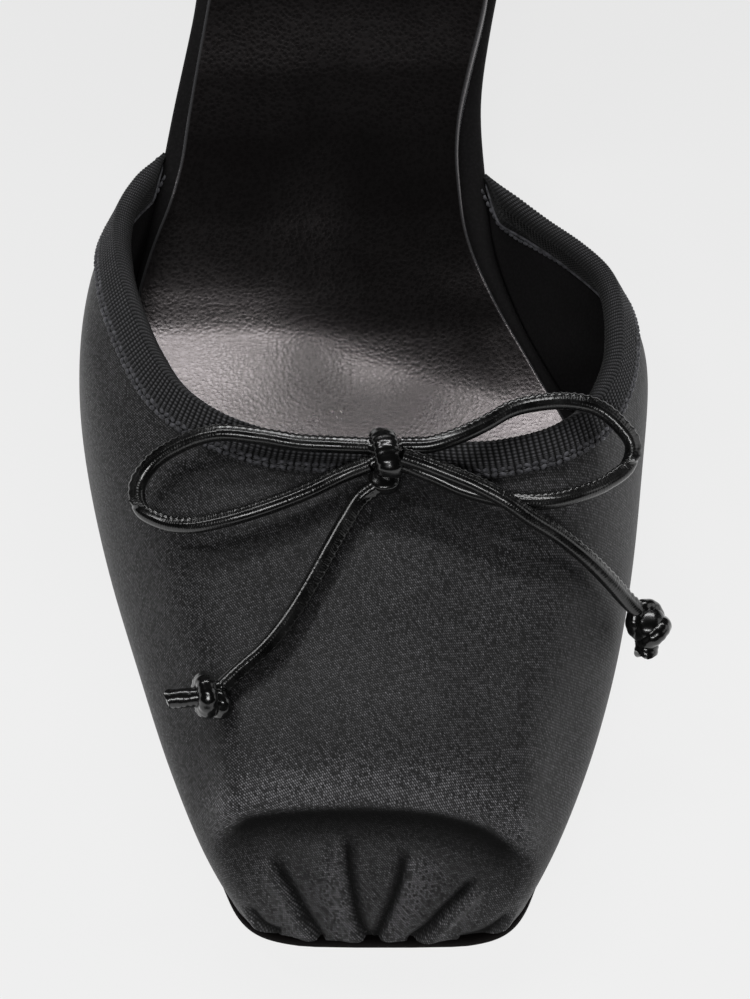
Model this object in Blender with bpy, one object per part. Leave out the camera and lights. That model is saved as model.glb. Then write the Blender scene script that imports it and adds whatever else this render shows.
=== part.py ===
"""Satin d'Orsay pump, right shoe: vamp with a bow, closed heel counter and an ankle tie.

The toe points along -Y, +X is the medial side, and the sole stands on z = 0.
The origin is on the floor under the ball of the foot. Tables are in millimetres,
with "back" measured from the tip of the toe towards the heel.
"""

import math
from collections import namedtuple

import bmesh
import bpy
import numpy as np

MM = 0.001

# Driving sizes of the last and of the materials
TOE_TO_BALL = 92.0
UPPER_WALL = 1.6
FIT_GAP = 0.3
OUTSOLE_THICK = 2.5
INSOLE_THICK = 2.2
SOCK_THICK = 0.8
TAPE_WIDTH = 5.4
TAPE_THICK = 0.6
TOP_PIECE_THICK = 5.0
HEEL_BREAST = 193.0
HEEL_CENTRE_X = -0.6
TIE_WIDTH = 8.0
TIE_THICK = 1.6

# Underside of the outsole along the shoe: toe spring, flat tread, shank, heel seat
SoleRow = namedtuple("SoleRow", "back height")
SOLE_PROFILE = (
    SoleRow(0.0, 4.8),
    SoleRow(12.0, 3.1),
    SoleRow(30.0, 1.4),
    SoleRow(50.0, 0.35),
    SoleRow(66.0, 0.0),
    SoleRow(110.0, 0.0),
    SoleRow(118.0, 0.6),
    SoleRow(130.0, 3.0),
    SoleRow(142.0, 7.4),
    SoleRow(152.0, 12.6),
    SoleRow(163.0, 19.5),
    SoleRow(175.0, 27.0),
    SoleRow(190.0, 35.0),
    SoleRow(205.0, 41.2),
    SoleRow(222.0, 46.4),
    SoleRow(241.0, 50.0),
)

# Ribs of the upper: the vamp's from its lateral end round the toe, the counter's from its medial
# end round the back. Each runs from the feather line up the wall (belly), over the shoulder, to the rim.
Rib = namedtuple(
    "Rib",
    "name feather_x feather_back belly_x belly_back belly_z "
    "shoulder_x shoulder_back shoulder_z swell rim_x rim_back rim_z",
)
VAMP_RIBS = (
    Rib("lateral_tip", -33.2, 142.3, -33.4, 142.2, 11.0, -33.4, 142.2, 11.4, 0, -33.3, 142.2, 11.8),
    Rib("lateral_waist", -36.2, 134.0, -37.0, 134.0, 10.6, -37.1, 134.2, 13.2, 0, -36.5, 134.4, 15.8),
    Rib("lateral_arch", -38.5, 126.0, -40.2, 126.0, 12.0, -40.0, 126.0, 16.6, 0, -38.8, 126.0, 20.3),
    Rib("lateral_side", -40.5, 117.0, -42.6, 117.5, 14.0, -42.0, 118.0, 20.0, 0, -39.5, 118.3, 24.1),
    Rib("lateral_joint", -41.8, 105.0, -44.4, 106.0, 16.5, -43.4, 107.0, 24.0, 0, -38.9, 108.8, 29.0),
    Rib("lateral_ball", -42.3, 92.0, -45.1, 93.0, 17.5, -43.4, 95.0, 27.0, 0.2, -37.0, 98.0, 33.0),
    Rib("lateral_fore", -41.2, 78.0, -43.6, 79.0, 16.5, -41.2, 82.5, 28.0, 0.3, -33.4, 86.0, 36.0),
    Rib("lateral_toes", -38.0, 62.0, -40.2, 62.5, 14.6, -37.0, 67.0, 27.0, 0.8, -29.3, 78.2, 37.1),
    Rib("lateral_vamp", -33.6, 45.0, -35.4, 45.5, 13.2, -31.0, 50.5, 25.4, 1.1, -23.0, 72.4, 37.8),
    Rib("lateral_cap", -28.6, 28.5, -30.4, 28.5, 12.2, -26.0, 32.0, 21.8, 1.0, -15.6, 69.0, 38.0),
    Rib("lateral_bend", -22.8, 12.4, -24.4, 12.4, 11.2, -21.8, 14.0, 18.2, 0.8, -9.8, 68.0, 38.0),
    Rib("lateral_corner", -17.9, 3.6, -19.0, 5.0, 11.4, -17.0, 10.8, 19.2, 0.7, -5.6, 67.7, 38.0),
    Rib("lateral_front", -9.6, 0.8, -9.6, 4.2, 12.8, -8.6, 12.7, 22.4, 0.7, -1.8, 67.5, 38.0),
    Rib("toe", 1.3, 0.5, 1.3, 4.0, 13.2, 1.3, 13.2, 23.6, 0.6, 1.9, 67.4, 38.0),
    Rib("medial_front", 12.2, 0.8, 12.2, 4.2, 12.8, 11.4, 12.7, 22.4, 0.7, 5.6, 67.2, 38.0),
    Rib("medial_corner", 19.6, 3.6, 20.6, 5.0, 11.4, 18.8, 10.8, 19.2, 0.7, 9.4, 66.9, 38.0),
    Rib("medial_bend", 24.1, 12.4, 25.6, 12.4, 11.2, 23.3, 14.0, 18.2, 0.8, 13.6, 66.8, 38.0),
    Rib("medial_cap", 29.8, 28.5, 31.5, 28.5, 12.2, 27.6, 32.0, 21.8, 1.0, 19.4, 67.4, 38.0),
    Rib("medial_vamp", 34.1, 45.0, 35.9, 45.5, 13.2, 32.4, 50.5, 25.4, 1.1, 26.6, 69.9, 37.9),
    Rib("medial_toes", 36.6, 61.0, 38.6, 61.5, 14.6, 36.4, 66.5, 27.0, 0.8, 32.6, 75.3, 37.1),
    Rib("medial_fore", 37.7, 75.0, 40.2, 76.0, 16.2, 39.4, 80.5, 27.6, 0.3, 35.9, 83.6, 35.4),
    Rib("medial_ball", 36.9, 87.0, 40.9, 88.5, 17.0, 40.6, 91.5, 26.0, 0.2, 36.6, 93.5, 32.3),
    Rib("medial_joint", 33.0, 97.0, 38.8, 98.5, 15.5, 39.4, 100.8, 23.0, 0, 36.3, 102.4, 28.5),
    Rib("medial_side", 28.2, 107.0, 34.2, 108.3, 13.2, 36.4, 109.3, 20.0, 0, 34.9, 109.5, 24.7),
    Rib("medial_arch", 24.3, 116.0, 29.2, 116.8, 11.4, 32.0, 117.2, 16.4, 0, 31.3, 117.4, 20.2),
    Rib("medial_shank", 21.3, 124.5, 24.8, 124.8, 10.0, 26.7, 125.0, 13.2, 0, 26.4, 125.1, 16.0),
    Rib("medial_waist", 19.0, 131.8, 20.8, 132.0, 9.4, 21.6, 132.2, 11.4, 0, 21.3, 132.3, 13.2),
    Rib("medial_tip", 17.3, 138.8, 17.5, 138.8, 9.5, 17.5, 138.9, 9.9, 0, 17.4, 139.0, 10.4),
)
COUNTER_RIBS = (
    Rib("medial_tip", 21.9, 174.0, 22.6, 174.2, 31.6, 22.9, 174.4, 33.2, 0, 22.8, 174.6, 34.8),
    Rib("medial_front", 25.4, 188.0, 27.4, 188.6, 43.0, 28.2, 189.2, 48.6, 0, 27.8, 189.8, 53.5),
    Rib("medial_side", 27.2, 203.0, 30.0, 204.4, 54.0, 30.2, 206.0, 65.0, 0, 28.4, 207.2, 75.0),
    Rib("medial_quarter", 25.7, 218.0, 28.2, 220.2, 61.0, 27.4, 222.6, 77.0, 0, 24.0, 222.8, 91.0),
    Rib("medial_back", 15.8, 233.2, 17.6, 236.6, 65.0, 16.4, 237.4, 85.0, 0, 13.4, 235.0, 99.0),
    Rib("back", -0.6, 239.2, -0.6, 243.4, 67.0, -0.6, 243.6, 88.0, 0, -0.6, 240.4, 102.0),
    Rib("lateral_back", -17.0, 233.2, -18.8, 236.6, 65.0, -17.6, 237.4, 85.0, 0, -14.6, 235.0, 99.0),
    Rib("lateral_quarter", -26.9, 218.0, -29.4, 220.2, 61.0, -28.6, 222.6, 77.0, 0, -25.2, 222.8, 91.0),
    Rib("lateral_side", -28.6, 203.0, -31.2, 204.4, 54.0, -31.4, 206.0, 65.0, 0, -29.6, 207.2, 75.0),
    Rib("lateral_front", -28.3, 188.0, -30.0, 188.6, 43.0, -30.6, 189.2, 48.6, 0, -30.0, 189.8, 53.5),
    Rib("lateral_tip", -27.8, 174.0, -28.4, 174.2, 31.6, -28.6, 174.4, 33.2, 0, -28.4, 174.6, 34.8),
)

# Plan outline of the sock, toe to heel
SockRow = namedtuple("SockRow", "back lateral medial")
SOCK_ROWS = (
    SockRow(9.0, -14.0, 15.0),
    SockRow(12.0, -18.2, 18.6),
    SockRow(20.0, -22.0, 22.2),
    SockRow(40.0, -28.6, 28.2),
    SockRow(60.0, -34.0, 31.8),
    SockRow(78.0, -37.6, 32.8),
    SockRow(90.0, -38.8, 31.0),
    SockRow(104.0, -38.6, 24.6),
    SockRow(117.6, -37.4, 17.9),
    SockRow(127.6, -34.8, 14.4),
    SockRow(134.0, -32.4, 13.5),
    SockRow(140.0, -30.7, 13.1),
    SockRow(145.0, -29.9, 13.5),
    SockRow(151.0, -28.8, 14.9),
    SockRow(163.0, -26.3, 18.0),
    SockRow(174.0, -24.4, 18.4),
    SockRow(190.0, -24.9, 22.2),
    SockRow(205.0, -25.1, 23.8),
    SockRow(218.0, -23.2, 22.0),
    SockRow(226.0, -19.0, 17.8),
    SockRow(232.0, -13.4, 12.2),
    SockRow(235.5, -6.0, 4.8),
)

# Bare edge of the footbed between vamp and counter, front to back
WaistRow = namedtuple("WaistRow", "back lateral_x medial_x")
WAIST = (
    WaistRow(147.0, -31.9, 16.5),
    WaistRow(152.0, -30.7, 16.8),
    WaistRow(163.0, -28.2, 19.0),
    WaistRow(170.6, -27.6, 21.0),
)

# How far the outsole stands out past the feather line
EdgeRow = namedtuple("EdgeRow", "back outset")
SOLE_EDGE = (
    EdgeRow(0.0, 0.3),
    EdgeRow(8.0, 0.1),
    EdgeRow(16.0, -0.5),
    EdgeRow(90.0, -0.5),
    EdgeRow(120.0, -0.9),
    EdgeRow(150.0, -2.2),
    EdgeRow(180.0, -1.6),
    EdgeRow(205.0, 0.2),
    EdgeRow(241.0, 0.5),
)

# The heel's sections, from its seat down to the top piece, as shares of the seat
HeelRow = namedtuple("HeelRow", "drop width depth centre_back")
HEEL_ROWS = (
    HeelRow(0.0, 1.0, 1.0, 216.5),
    HeelRow(0.12, 0.93, 0.94, 216.8),
    HeelRow(0.4, 0.66, 0.7, 218.2),
    HeelRow(0.7, 0.5, 0.53, 219.4),
    HeelRow(1.0, 0.46, 0.48, 220.0),
)

# The ankle tie's lateral half, from inside the counter forward to the knot: x from the heel's middle
TiePoint = namedtuple("TiePoint", "side back z")
TIE_ROUTE = (
    TiePoint(16.6, 228.5, 85.0),
    TiePoint(20.6, 222.5, 86.0),
    TiePoint(22.4, 216.0, 87.2),
    TiePoint(24.6, 210.0, 88.6),
    TiePoint(27.6, 200.0, 91.0),
    TiePoint(27.6, 186.0, 94.8),
    TiePoint(21.2, 173.0, 99.0),
    TiePoint(11.0, 165.2, 101.6),
    TiePoint(4.6, 163.4, 102.6),
)
TIE_END_ROUTE = (
    TiePoint(2.4, 159.4, 98.5),
    TiePoint(4.2, 157.6, 93.0),
    TiePoint(7.6, 156.0, 81.0),
    TiePoint(10.4, 156.6, 66.0),
    TiePoint(11.8, 158.6, 50.0),
)
TIE_KNOT_CENTRE = (-0.6, 162.6, 102.6)
TIE_KNOT_RADII = (4.6, 3.4, 5.0)

# The bow's cord on the throat: routes of its loops and tails, and its three knots
CORD_DIAMETER = 2.4
CordPoint = namedtuple("CordPoint", "x back z")
LATERAL_LOOP = (
    CordPoint(-0.8, 64.4, 40.8),
    CordPoint(-5.1, 65.0, 40.3),
    CordPoint(-11.0, 65.6, 40.0),
    CordPoint(-17.1, 66.8, 40.0),
    CordPoint(-23.5, 67.6, 39.6),
    CordPoint(-28.7, 67.2, 37.3),
    CordPoint(-32.8, 65.7, 34.7),
    CordPoint(-34.9, 63.1, 32.6),
    CordPoint(-34.6, 60.4, 31.3),
    CordPoint(-31.6, 57.6, 31.7),
    CordPoint(-27.1, 55.5, 33.4),
    CordPoint(-21.2, 55.4, 35.4),
    CordPoint(-15.3, 56.7, 36.7),
    CordPoint(-9.5, 58.7, 37.8),
    CordPoint(-4.4, 60.9, 38.9),
    CordPoint(-0.8, 61.7, 40.2),
)
MEDIAL_LOOP = (
    CordPoint(4.0, 64.5, 40.8),
    CordPoint(8.0, 64.4, 41.2),
    CordPoint(11.7, 65.4, 41.7),
    CordPoint(16.1, 67.7, 42.0),
    CordPoint(19.8, 70.2, 42.0),
    CordPoint(24.2, 71.8, 41.5),
    CordPoint(28.4, 72.7, 40.6),
    CordPoint(32.4, 72.5, 39.5),
    CordPoint(35.8, 70.6, 37.9),
    CordPoint(37.9, 68.0, 36.0),
    CordPoint(37.3, 65.7, 34.5),
    CordPoint(34.3, 63.0, 34.0),
    CordPoint(30.0, 60.0, 35.0),
    CordPoint(25.6, 58.1, 35.9),
    CordPoint(21.2, 57.5, 36.6),
    CordPoint(16.8, 58.1, 37.0),
    CordPoint(12.7, 59.2, 37.5),
    CordPoint(8.8, 60.7, 38.4),
    CordPoint(5.6, 61.6, 39.3),
    CordPoint(4.0, 61.8, 40.1),
)
LATERAL_TAIL = (
    CordPoint(0.2, 58.9, 38.8),
    CordPoint(-1.9, 57.8, 37.7),
    CordPoint(-4.4, 54.3, 36.3),
    CordPoint(-6.7, 50.3, 35.0),
    CordPoint(-9.4, 45.5, 33.3),
    CordPoint(-12.6, 40.5, 31.5),
    CordPoint(-16.1, 36.4, 29.9),
    CordPoint(-19.5, 33.7, 28.5),
    CordPoint(-22.0, 31.6, 27.4),
)
MEDIAL_TAIL = (
    CordPoint(3.9, 61.1, 43.0),
    CordPoint(7.3, 60.4, 42.0),
    CordPoint(11.1, 59.2, 41.1),
    CordPoint(15.0, 57.9, 40.1),
    CordPoint(18.9, 56.0, 39.2),
    CordPoint(22.6, 54.4, 37.0),
    CordPoint(26.4, 53.3, 34.5),
    CordPoint(30.7, 51.6, 31.1),
    CordPoint(34.4, 50.2, 26.8),
    CordPoint(37.4, 49.2, 22.6),
    CordPoint(38.6, 48.8, 21.2),
)
Knot = namedtuple("Knot", "centre radii")
BOW_KNOTS = {
    "bow_knot": Knot((1.6, 63.0, 41.1), (2.0, 3.7, 2.5)),
    "tail_knot_lateral": Knot((-24.4, 30.0, 26.6), (2.6, 2.8, 2.6)),
    "tail_knot_medial": Knot((40.2, 47.8, 18.6), (2.6, 2.8, 2.6)),
}


def clear_scene():
    for obj in list(bpy.data.objects):
        bpy.data.objects.remove(obj, do_unlink=True)


def material(name, colour, roughness, metallic=0.0):
    made = bpy.data.materials.new(name)
    made.use_nodes = True
    shader = made.node_tree.nodes["Principled BSDF"]
    shader.inputs["Base Color"].default_value = (*colour, 1.0)
    shader.inputs["Roughness"].default_value = roughness
    shader.inputs["Metallic"].default_value = metallic
    return made


def slopes(points, knots):
    """Tangents of a smooth curve through points at uneven knots, along the second last axis."""
    step = np.diff(knots, axis=-1)[..., None]
    rise = np.diff(points, axis=-2) / step
    inner = (rise[..., :-1, :] * step[..., 1:, :] + rise[..., 1:, :] * step[..., :-1, :]) / (
        step[..., 1:, :] + step[..., :-1, :]
    )
    return np.concatenate([rise[..., :1, :], inner, rise[..., -1:, :]], axis=-2)


def smooth(points, at, knots=None):
    """Cubic curve through the points, read at the shares `at` of its knots (0 to 1)."""
    points = np.asarray(points, float)
    if knots is None:
        chord = np.linalg.norm(np.diff(points, axis=-2), axis=-1)
        knots = np.concatenate([np.zeros_like(chord[..., :1]), np.cumsum(chord, axis=-1)], axis=-1)
    tangent = slopes(points, knots)
    wanted = knots[..., -1:] * np.asarray(at, float)
    span = np.clip((wanted[..., None] >= knots[..., None, 1:-1]).sum(-1), 0, knots.shape[-1] - 2)
    k0 = np.take_along_axis(knots, span, -1)
    width = np.take_along_axis(knots, span + 1, -1) - k0
    t = ((wanted - k0) / width)[..., None]
    h = width[..., None]

    def pick(values, offset):
        return np.take_along_axis(values, (span + offset)[..., None], -2)

    return (
        pick(points, 0) * (2 * t**3 - 3 * t**2 + 1)
        + pick(tangent, 0) * h * (t**3 - 2 * t**2 + t)
        + pick(points, 1) * (3 * t**2 - 2 * t**3)
        + pick(tangent, 1) * h * (t**3 - t**2)
    )


def underside(back):
    """Height of the outsole's underside: a cubic that never overshoots its rows, so the tread is flat."""
    rows = np.array(SOLE_PROFILE, float)
    x, y = rows[:, 0], rows[:, 1]
    step = np.diff(x)
    rise = np.diff(y) / step
    same_way = rise[:-1] * rise[1:] > 0
    mean = 2 * rise[:-1] * rise[1:] / np.where(same_way, rise[:-1] + rise[1:], 1.0)
    tangent = np.concatenate([rise[:1], np.where(same_way, mean, 0.0), rise[-1:]])
    back = np.clip(np.asarray(back, float), x[0], x[-1])
    i = np.clip(np.searchsorted(x, back, side="right") - 1, 0, len(step) - 1)
    t = (back - x[i]) / step[i]
    return (
        y[i] * (2 * t**3 - 3 * t**2 + 1)
        + tangent[i] * step[i] * (t**3 - 2 * t**2 + t)
        + y[i + 1] * (3 * t**2 - 2 * t**3)
        + tangent[i + 1] * step[i] * (t**3 - t**2)
    )


def lift(back, thickness):
    """Vertical thickness of a layer of the given thickness, measured square to the sloping sole."""
    slope = (underside(np.asarray(back) + 0.5) - underside(np.asarray(back) - 0.5)) / 1.0
    return thickness * np.sqrt(1.0 + slope**2)


def feather_height(back):
    """The upper's lower edge, just above the outsole."""
    return underside(back) + lift(back, OUTSOLE_THICK + FIT_GAP)


def rib_controls(ribs, across):
    """Control points of `across` ribs spread evenly over the rows of a rib table: feather to rim."""
    rows = np.array([rib[1:] for rib in ribs], float)
    knots = np.arange(len(rows), dtype=float)
    c = smooth(rows, np.linspace(0, 1, across), knots)
    feather = np.stack([c[:, 0], c[:, 1], feather_height(c[:, 1])], -1)
    belly, shoulder, rim = c[:, 2:5], c[:, 5:8], c[:, 9:12]
    middle = (shoulder + rim) / 2
    middle[:, 2] += c[:, 8]
    return np.stack([feather, belly, shoulder, middle, rim], 1)


def tape_width(length):
    """Width of the binding on a rib of this length: narrower where the wall runs out at its ends."""
    return np.minimum(TAPE_WIDTH, 0.62 * length)


def outer_skin(ribs, across, low_steps, high_steps):
    """Outside of the upper as a grid [rib, step]: feather to shoulder, to the binding's edge, to the rim."""
    control = rib_controls(ribs, across)
    fine = smooth(control, np.linspace(0, 1, 91))
    run = np.linalg.norm(np.diff(fine, axis=1), axis=2).cumsum(1)
    run = np.concatenate([np.zeros((across, 1)), run], 1)
    shoulder = np.linalg.norm(fine - control[:, 2:3], axis=2).argmin(1)
    grid = []
    for line, length, at in zip(fine, run, shoulder):
        edge = length[-1] - tape_width(length[-1])
        bend = min(length[at], 0.75 * edge)
        low = np.linspace(0, bend, low_steps + 1)
        high = np.linspace(bend, edge, high_steps + 1)[1:]
        steps = np.concatenate([low, high, length[-1:]])
        grid.append(np.stack([np.interp(steps, length, line[:, k]) for k in range(3)], 1))
    return np.array(grid)


def outward(grid):
    """Unit normals of a skin grid, turned level at the feather line so that the edge stays on the sole."""
    normal = np.cross(np.gradient(grid, axis=0), np.gradient(grid, axis=1))
    level = np.clip(np.arange(grid.shape[1]) / 3.0, 0, 1)
    normal[..., 2] *= level
    return normal / np.linalg.norm(normal, axis=2, keepdims=True)


def solid(name, points, faces, mat):
    """A closed mesh object from points in table millimetres and faces, with its normals turned out."""
    points = np.asarray(points, float).reshape(-1, 3)
    placed = np.column_stack([points[:, 0], points[:, 1] - TOE_TO_BALL, points[:, 2]]) * MM
    mesh = bpy.data.meshes.new(name)
    mesh.from_pydata(placed.tolist(), [], [list(map(int, f)) for f in faces])
    bm = bmesh.new()
    bm.from_mesh(mesh)
    bmesh.ops.recalc_face_normals(bm, faces=bm.faces[:])
    bm.to_mesh(mesh)
    bm.free()
    mesh.shade_smooth()
    mesh.set_sharp_from_angle(angle=math.radians(40))
    mesh.materials.append(mat)
    obj = bpy.data.objects.new(name, mesh)
    bpy.context.scene.collection.objects.link(obj)
    return obj


def grid_faces(index):
    """Triangles of a grid of vertex numbers, all split the same way so that neighbours stay parallel."""
    a, b, c, d = index[:-1, :-1], index[1:, :-1], index[1:, 1:], index[:-1, 1:]
    return np.concatenate([np.stack([a, b, c], -1).reshape(-1, 3), np.stack([a, c, d], -1).reshape(-1, 3)])


def shell(name, outer, inner, mat):
    """A wall between two skin grids, closed along its four edges."""
    across, up = outer.shape[:2]
    front = np.arange(across * up).reshape(across, up)
    behind = front + across * up
    faces = [grid_faces(front), grid_faces(behind)]
    for edge in ((slice(None), 0), (slice(None), -1), (0, slice(None)), (-1, slice(None))):
        faces.append(grid_faces(np.stack([front[edge], behind[edge]], 1)))
    points = np.concatenate([outer.reshape(-1, 3), inner.reshape(-1, 3)])
    return solid(name, points, np.concatenate(faces), mat)


def tube_of_sections(name, sections, mat, closed=False):
    """A solid through closed sections [station, corner], with a cap at each end unless the run is closed."""
    stations, corners = sections.shape[:2]
    index = np.arange(stations * corners).reshape(stations, corners)
    index = np.concatenate([index, index[:, :1]], 1)
    if closed:
        index = np.concatenate([index, index[:1]], 0)
    faces = [list(f) for f in grid_faces(index)]
    if not closed:
        faces += [list(index[0, :-1]), list(index[-1, :-1])]
    return solid(name, sections, faces, mat)


def binding(name, skin, mat):
    """Grosgrain tape folded over the rim: a U section that lies on both faces of the wall."""
    normal = outward(skin)
    edge, rim = skin[:, -2], skin[:, -1]
    edge_out, rim_out = normal[:, -2], normal[:, -1]
    up = (rim - edge) / np.linalg.norm(rim - edge, axis=1, keepdims=True)
    near, far = FIT_GAP, FIT_GAP + TAPE_THICK
    back_near, back_far = -(UPPER_WALL + near), -(UPPER_WALL + far)
    section = [
        edge + edge_out * far,
        rim + rim_out * far + up * near,
        rim + rim_out * (near - TAPE_THICK) + up * far,
        rim + rim_out * (back_near + TAPE_THICK) + up * far,
        rim + rim_out * back_far + up * near,
        edge + edge_out * back_far,
        edge + edge_out * back_near,
        rim + rim_out * back_near + up * near,
        rim + rim_out * near + up * near,
        edge + edge_out * near,
    ]
    return tube_of_sections(name, np.stack(section, 1), mat)


def plan_normals(line, closed=False):
    """Unit normals of a plan line (x, back), on the left of its direction of travel."""
    if closed:
        along = np.roll(line, -1, 0) - np.roll(line, 1, 0)
    else:
        along = np.gradient(line, axis=0)
    along = along / np.linalg.norm(along, axis=1, keepdims=True)
    return np.column_stack([-along[:, 1], along[:, 0]])


def inner_foot(skin, inner):
    """Plan line just inside the wall's foot, clear of wall and binding up to the insole's top."""
    feather = skin[:, 0, :2]
    inward = plan_normals(feather)
    top = feather_height(feather[:, 1]) + INSOLE_THICK + 1.2
    depth = ((inner[..., :2] - feather[:, None]) * inward[:, None]).sum(-1)
    depth = np.array([max(d[0], np.interp(z, run, d)) for z, run, d in zip(top, inner[..., 2], depth)])
    tape = np.where(skin[:, -2, 2] < top + 0.5, TAPE_THICK + FIT_GAP, 0.0)
    return feather + inward * (np.maximum(depth, UPPER_WALL) + tape + FIT_GAP)[:, None]


def bottom_edges(vamp, counter):
    """Lateral and medial plan lines of the whole bottom, toe to heel, through the bare waist."""
    waist = np.array(WAIST, float)
    toe, heel = len(vamp) // 2, len(counter) // 2
    lateral = np.concatenate([vamp[toe::-1], waist[:, [1, 0]], counter[: heel - 1 : -1]])
    medial = np.concatenate([vamp[toe:], waist[:, [2, 0]], counter[: heel + 1]])
    return lateral, medial


def sole_edges(lateral, medial):
    """The outsole's edges: the feather lines moved out by SOLE_EDGE."""
    rows = np.array(SOLE_EDGE, float)
    moved = []
    for line, side in ((lateral, 1.0), (medial, -1.0)):
        outset = np.interp(line[:, 1], rows[:, 0], rows[:, 1])
        moved.append(line + plan_normals(line) * (side * outset)[:, None])
    return moved


def stations(lateral, medial, count, ends=(0.2, 0.2)):
    """Pairs of edge points at the same distances back, closer together at toe and heel."""
    first = max(lateral[:, 1].min(), medial[:, 1].min()) + ends[0]
    last = min(lateral[:, 1].max(), medial[:, 1].max()) - ends[1]
    even = np.linspace(0, 1, count)
    back = first + (last - first) * (0.35 * even + 0.65 * (1 - np.cos(math.pi * even)) / 2)
    sides = [np.interp(back, np.maximum.accumulate(line[:, 1]), line[:, 0]) for line in (lateral, medial)]
    return np.column_stack([back, *sides])


def pair_ring(pairs):
    """Closed plan ring through station pairs: down the lateral edge and back up the medial one."""
    return np.concatenate([pairs[:, [1, 0]], pairs[::-1][:, [2, 0]]])


def stacked(name, rings, mat):
    """A solid through rings of station pairs, closed below and above by strips across the pairs."""
    levels, corners = rings.shape[:2]
    index = np.arange(levels * corners).reshape(levels, corners)
    faces = [grid_faces(np.concatenate([index, index[:, :1]], 1))]
    half = corners // 2
    for level in (0, -1):
        across = np.stack([index[level, :half], index[level, :half - 1 : -1]], 1)
        faces.append(grid_faces(across))
    return solid(name, rings, np.concatenate(faces), mat)


def plate(name, pairs, base, levels, mat):
    """A layer of the bottom that follows the sole's profile: levels are (inset, thickness above base)."""
    ring = pair_ring(pairs)
    out = plan_normals(ring, closed=True)
    rings = []
    for inset, thickness in levels:
        moved = ring - out * inset
        height = underside(moved[:, 1]) + lift(moved[:, 1], base + thickness)
        rings.append(np.column_stack([moved, height]))
    return stacked(name, np.array(rings), mat)


def heel_rings(pairs):
    """The heel's sections: the seat's ring, shrunk by HEEL_ROWS while its slope levels out to the floor."""
    ring = pair_ring(pairs)
    seat = underside(ring[:, 1]) - lift(ring[:, 1], FIT_GAP)
    rows = smooth(HEEL_ROWS, np.linspace(0, 1, 9))
    centre = np.array([HEEL_CENTRE_X, HEEL_ROWS[0].centre_back])
    rings = []
    for drop, width, depth, centre_back in rows:
        moved = (ring - centre) * (width, depth) + (HEEL_CENTRE_X, centre_back)
        height = seat * (1 - drop) + TOP_PIECE_THICK * drop
        rings.append(np.column_stack([moved, height]))
    return np.array(rings)


def strap(name, route, side, wide, gathered, mat, count):
    """A flat tie along a smooth route, its width turned towards `wide`, with thinned edges.

    `gathered` is the share of its width that is left at its first and last point.
    """
    points = np.array(route, float)
    points[:, 0] = HEEL_CENTRE_X + side * points[:, 0]
    path = smooth(points, np.linspace(0, 1, count))
    along = np.gradient(path, axis=0)
    along = along / np.linalg.norm(along, axis=1, keepdims=True)
    wide = np.array(wide, float) - along * (along @ np.array(wide, float))[:, None]
    wide = wide / np.linalg.norm(wide, axis=1, keepdims=True)
    thick = np.cross(along, wide)
    share = np.linspace(0, 1, count)
    half = TIE_WIDTH / 2 * np.interp(share, (0, 0.25, 0.75, 1), (gathered[0], 1, 1, gathered[1]))
    corners = ((1, 0, 0), (1, -0.7, 1), (-1, 0.7, 1), (-1, 0, 0), (-1, 0.7, -1), (1, -0.7, -1))
    section = []
    for edge, chamfer, face in corners:
        section.append(path + wide * (edge * half + chamfer)[:, None] + thick * (face * TIE_THICK / 2))
    return tube_of_sections(name, np.stack(section, 1), mat)


def lump(name, centre, radii, mat, squareness=0.8):
    """A rounded knot: an ellipsoid with slightly squared shoulders."""
    bm = bmesh.new()
    bmesh.ops.create_uvsphere(bm, u_segments=14, v_segments=8, radius=1.0)
    points = np.array([v.co for v in bm.verts])
    faces = [[v.index for v in f.verts] for f in bm.faces]
    bm.free()
    points = np.sign(points) * np.abs(points) ** squareness
    return solid(name, points * radii + centre, faces, mat)


def cord(name, route, mat):
    """A round cord: points two diameters apart, read from a smooth curve through its route."""
    points = np.array(route, float)
    length = np.linalg.norm(np.diff(points, axis=0), axis=1).sum()
    path = smooth(points, np.linspace(0, 1, round(length / (2 * CORD_DIAMETER)) + 1))
    curve = bpy.data.curves.new(name, "CURVE")
    curve.dimensions = "3D"
    curve.bevel_depth = CORD_DIAMETER / 2 * MM
    curve.bevel_resolution = 2
    curve.use_fill_caps = True
    spline = curve.splines.new("POLY")
    spline.points.add(len(path) - 1)
    for point, (x, back, z) in zip(spline.points, path):
        point.co = (x * MM, (back - TOE_TO_BALL) * MM, z * MM, 1.0)
    curve.materials.append(mat)
    obj = bpy.data.objects.new(name, curve)
    bpy.context.scene.collection.objects.link(obj)
    return obj


def build_upper(satin, grosgrain):
    """Vamp and counter with their bindings. Returns each wall's outer and inner skin."""
    walls = []
    for name, ribs, sizes in (
        ("vamp_upper", VAMP_RIBS, (61, 5, 4)),
        ("heel_counter", COUNTER_RIBS, (41, 4, 3)),
    ):
        outer = outer_skin(ribs, *sizes)
        inner = outer - outward(outer) * UPPER_WALL
        shell(name, outer, inner, satin)
        walls.append((outer, inner))
    binding("vamp_binding", walls[0][0], grosgrain)
    binding("counter_binding", walls[1][0], grosgrain)
    return walls


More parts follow.
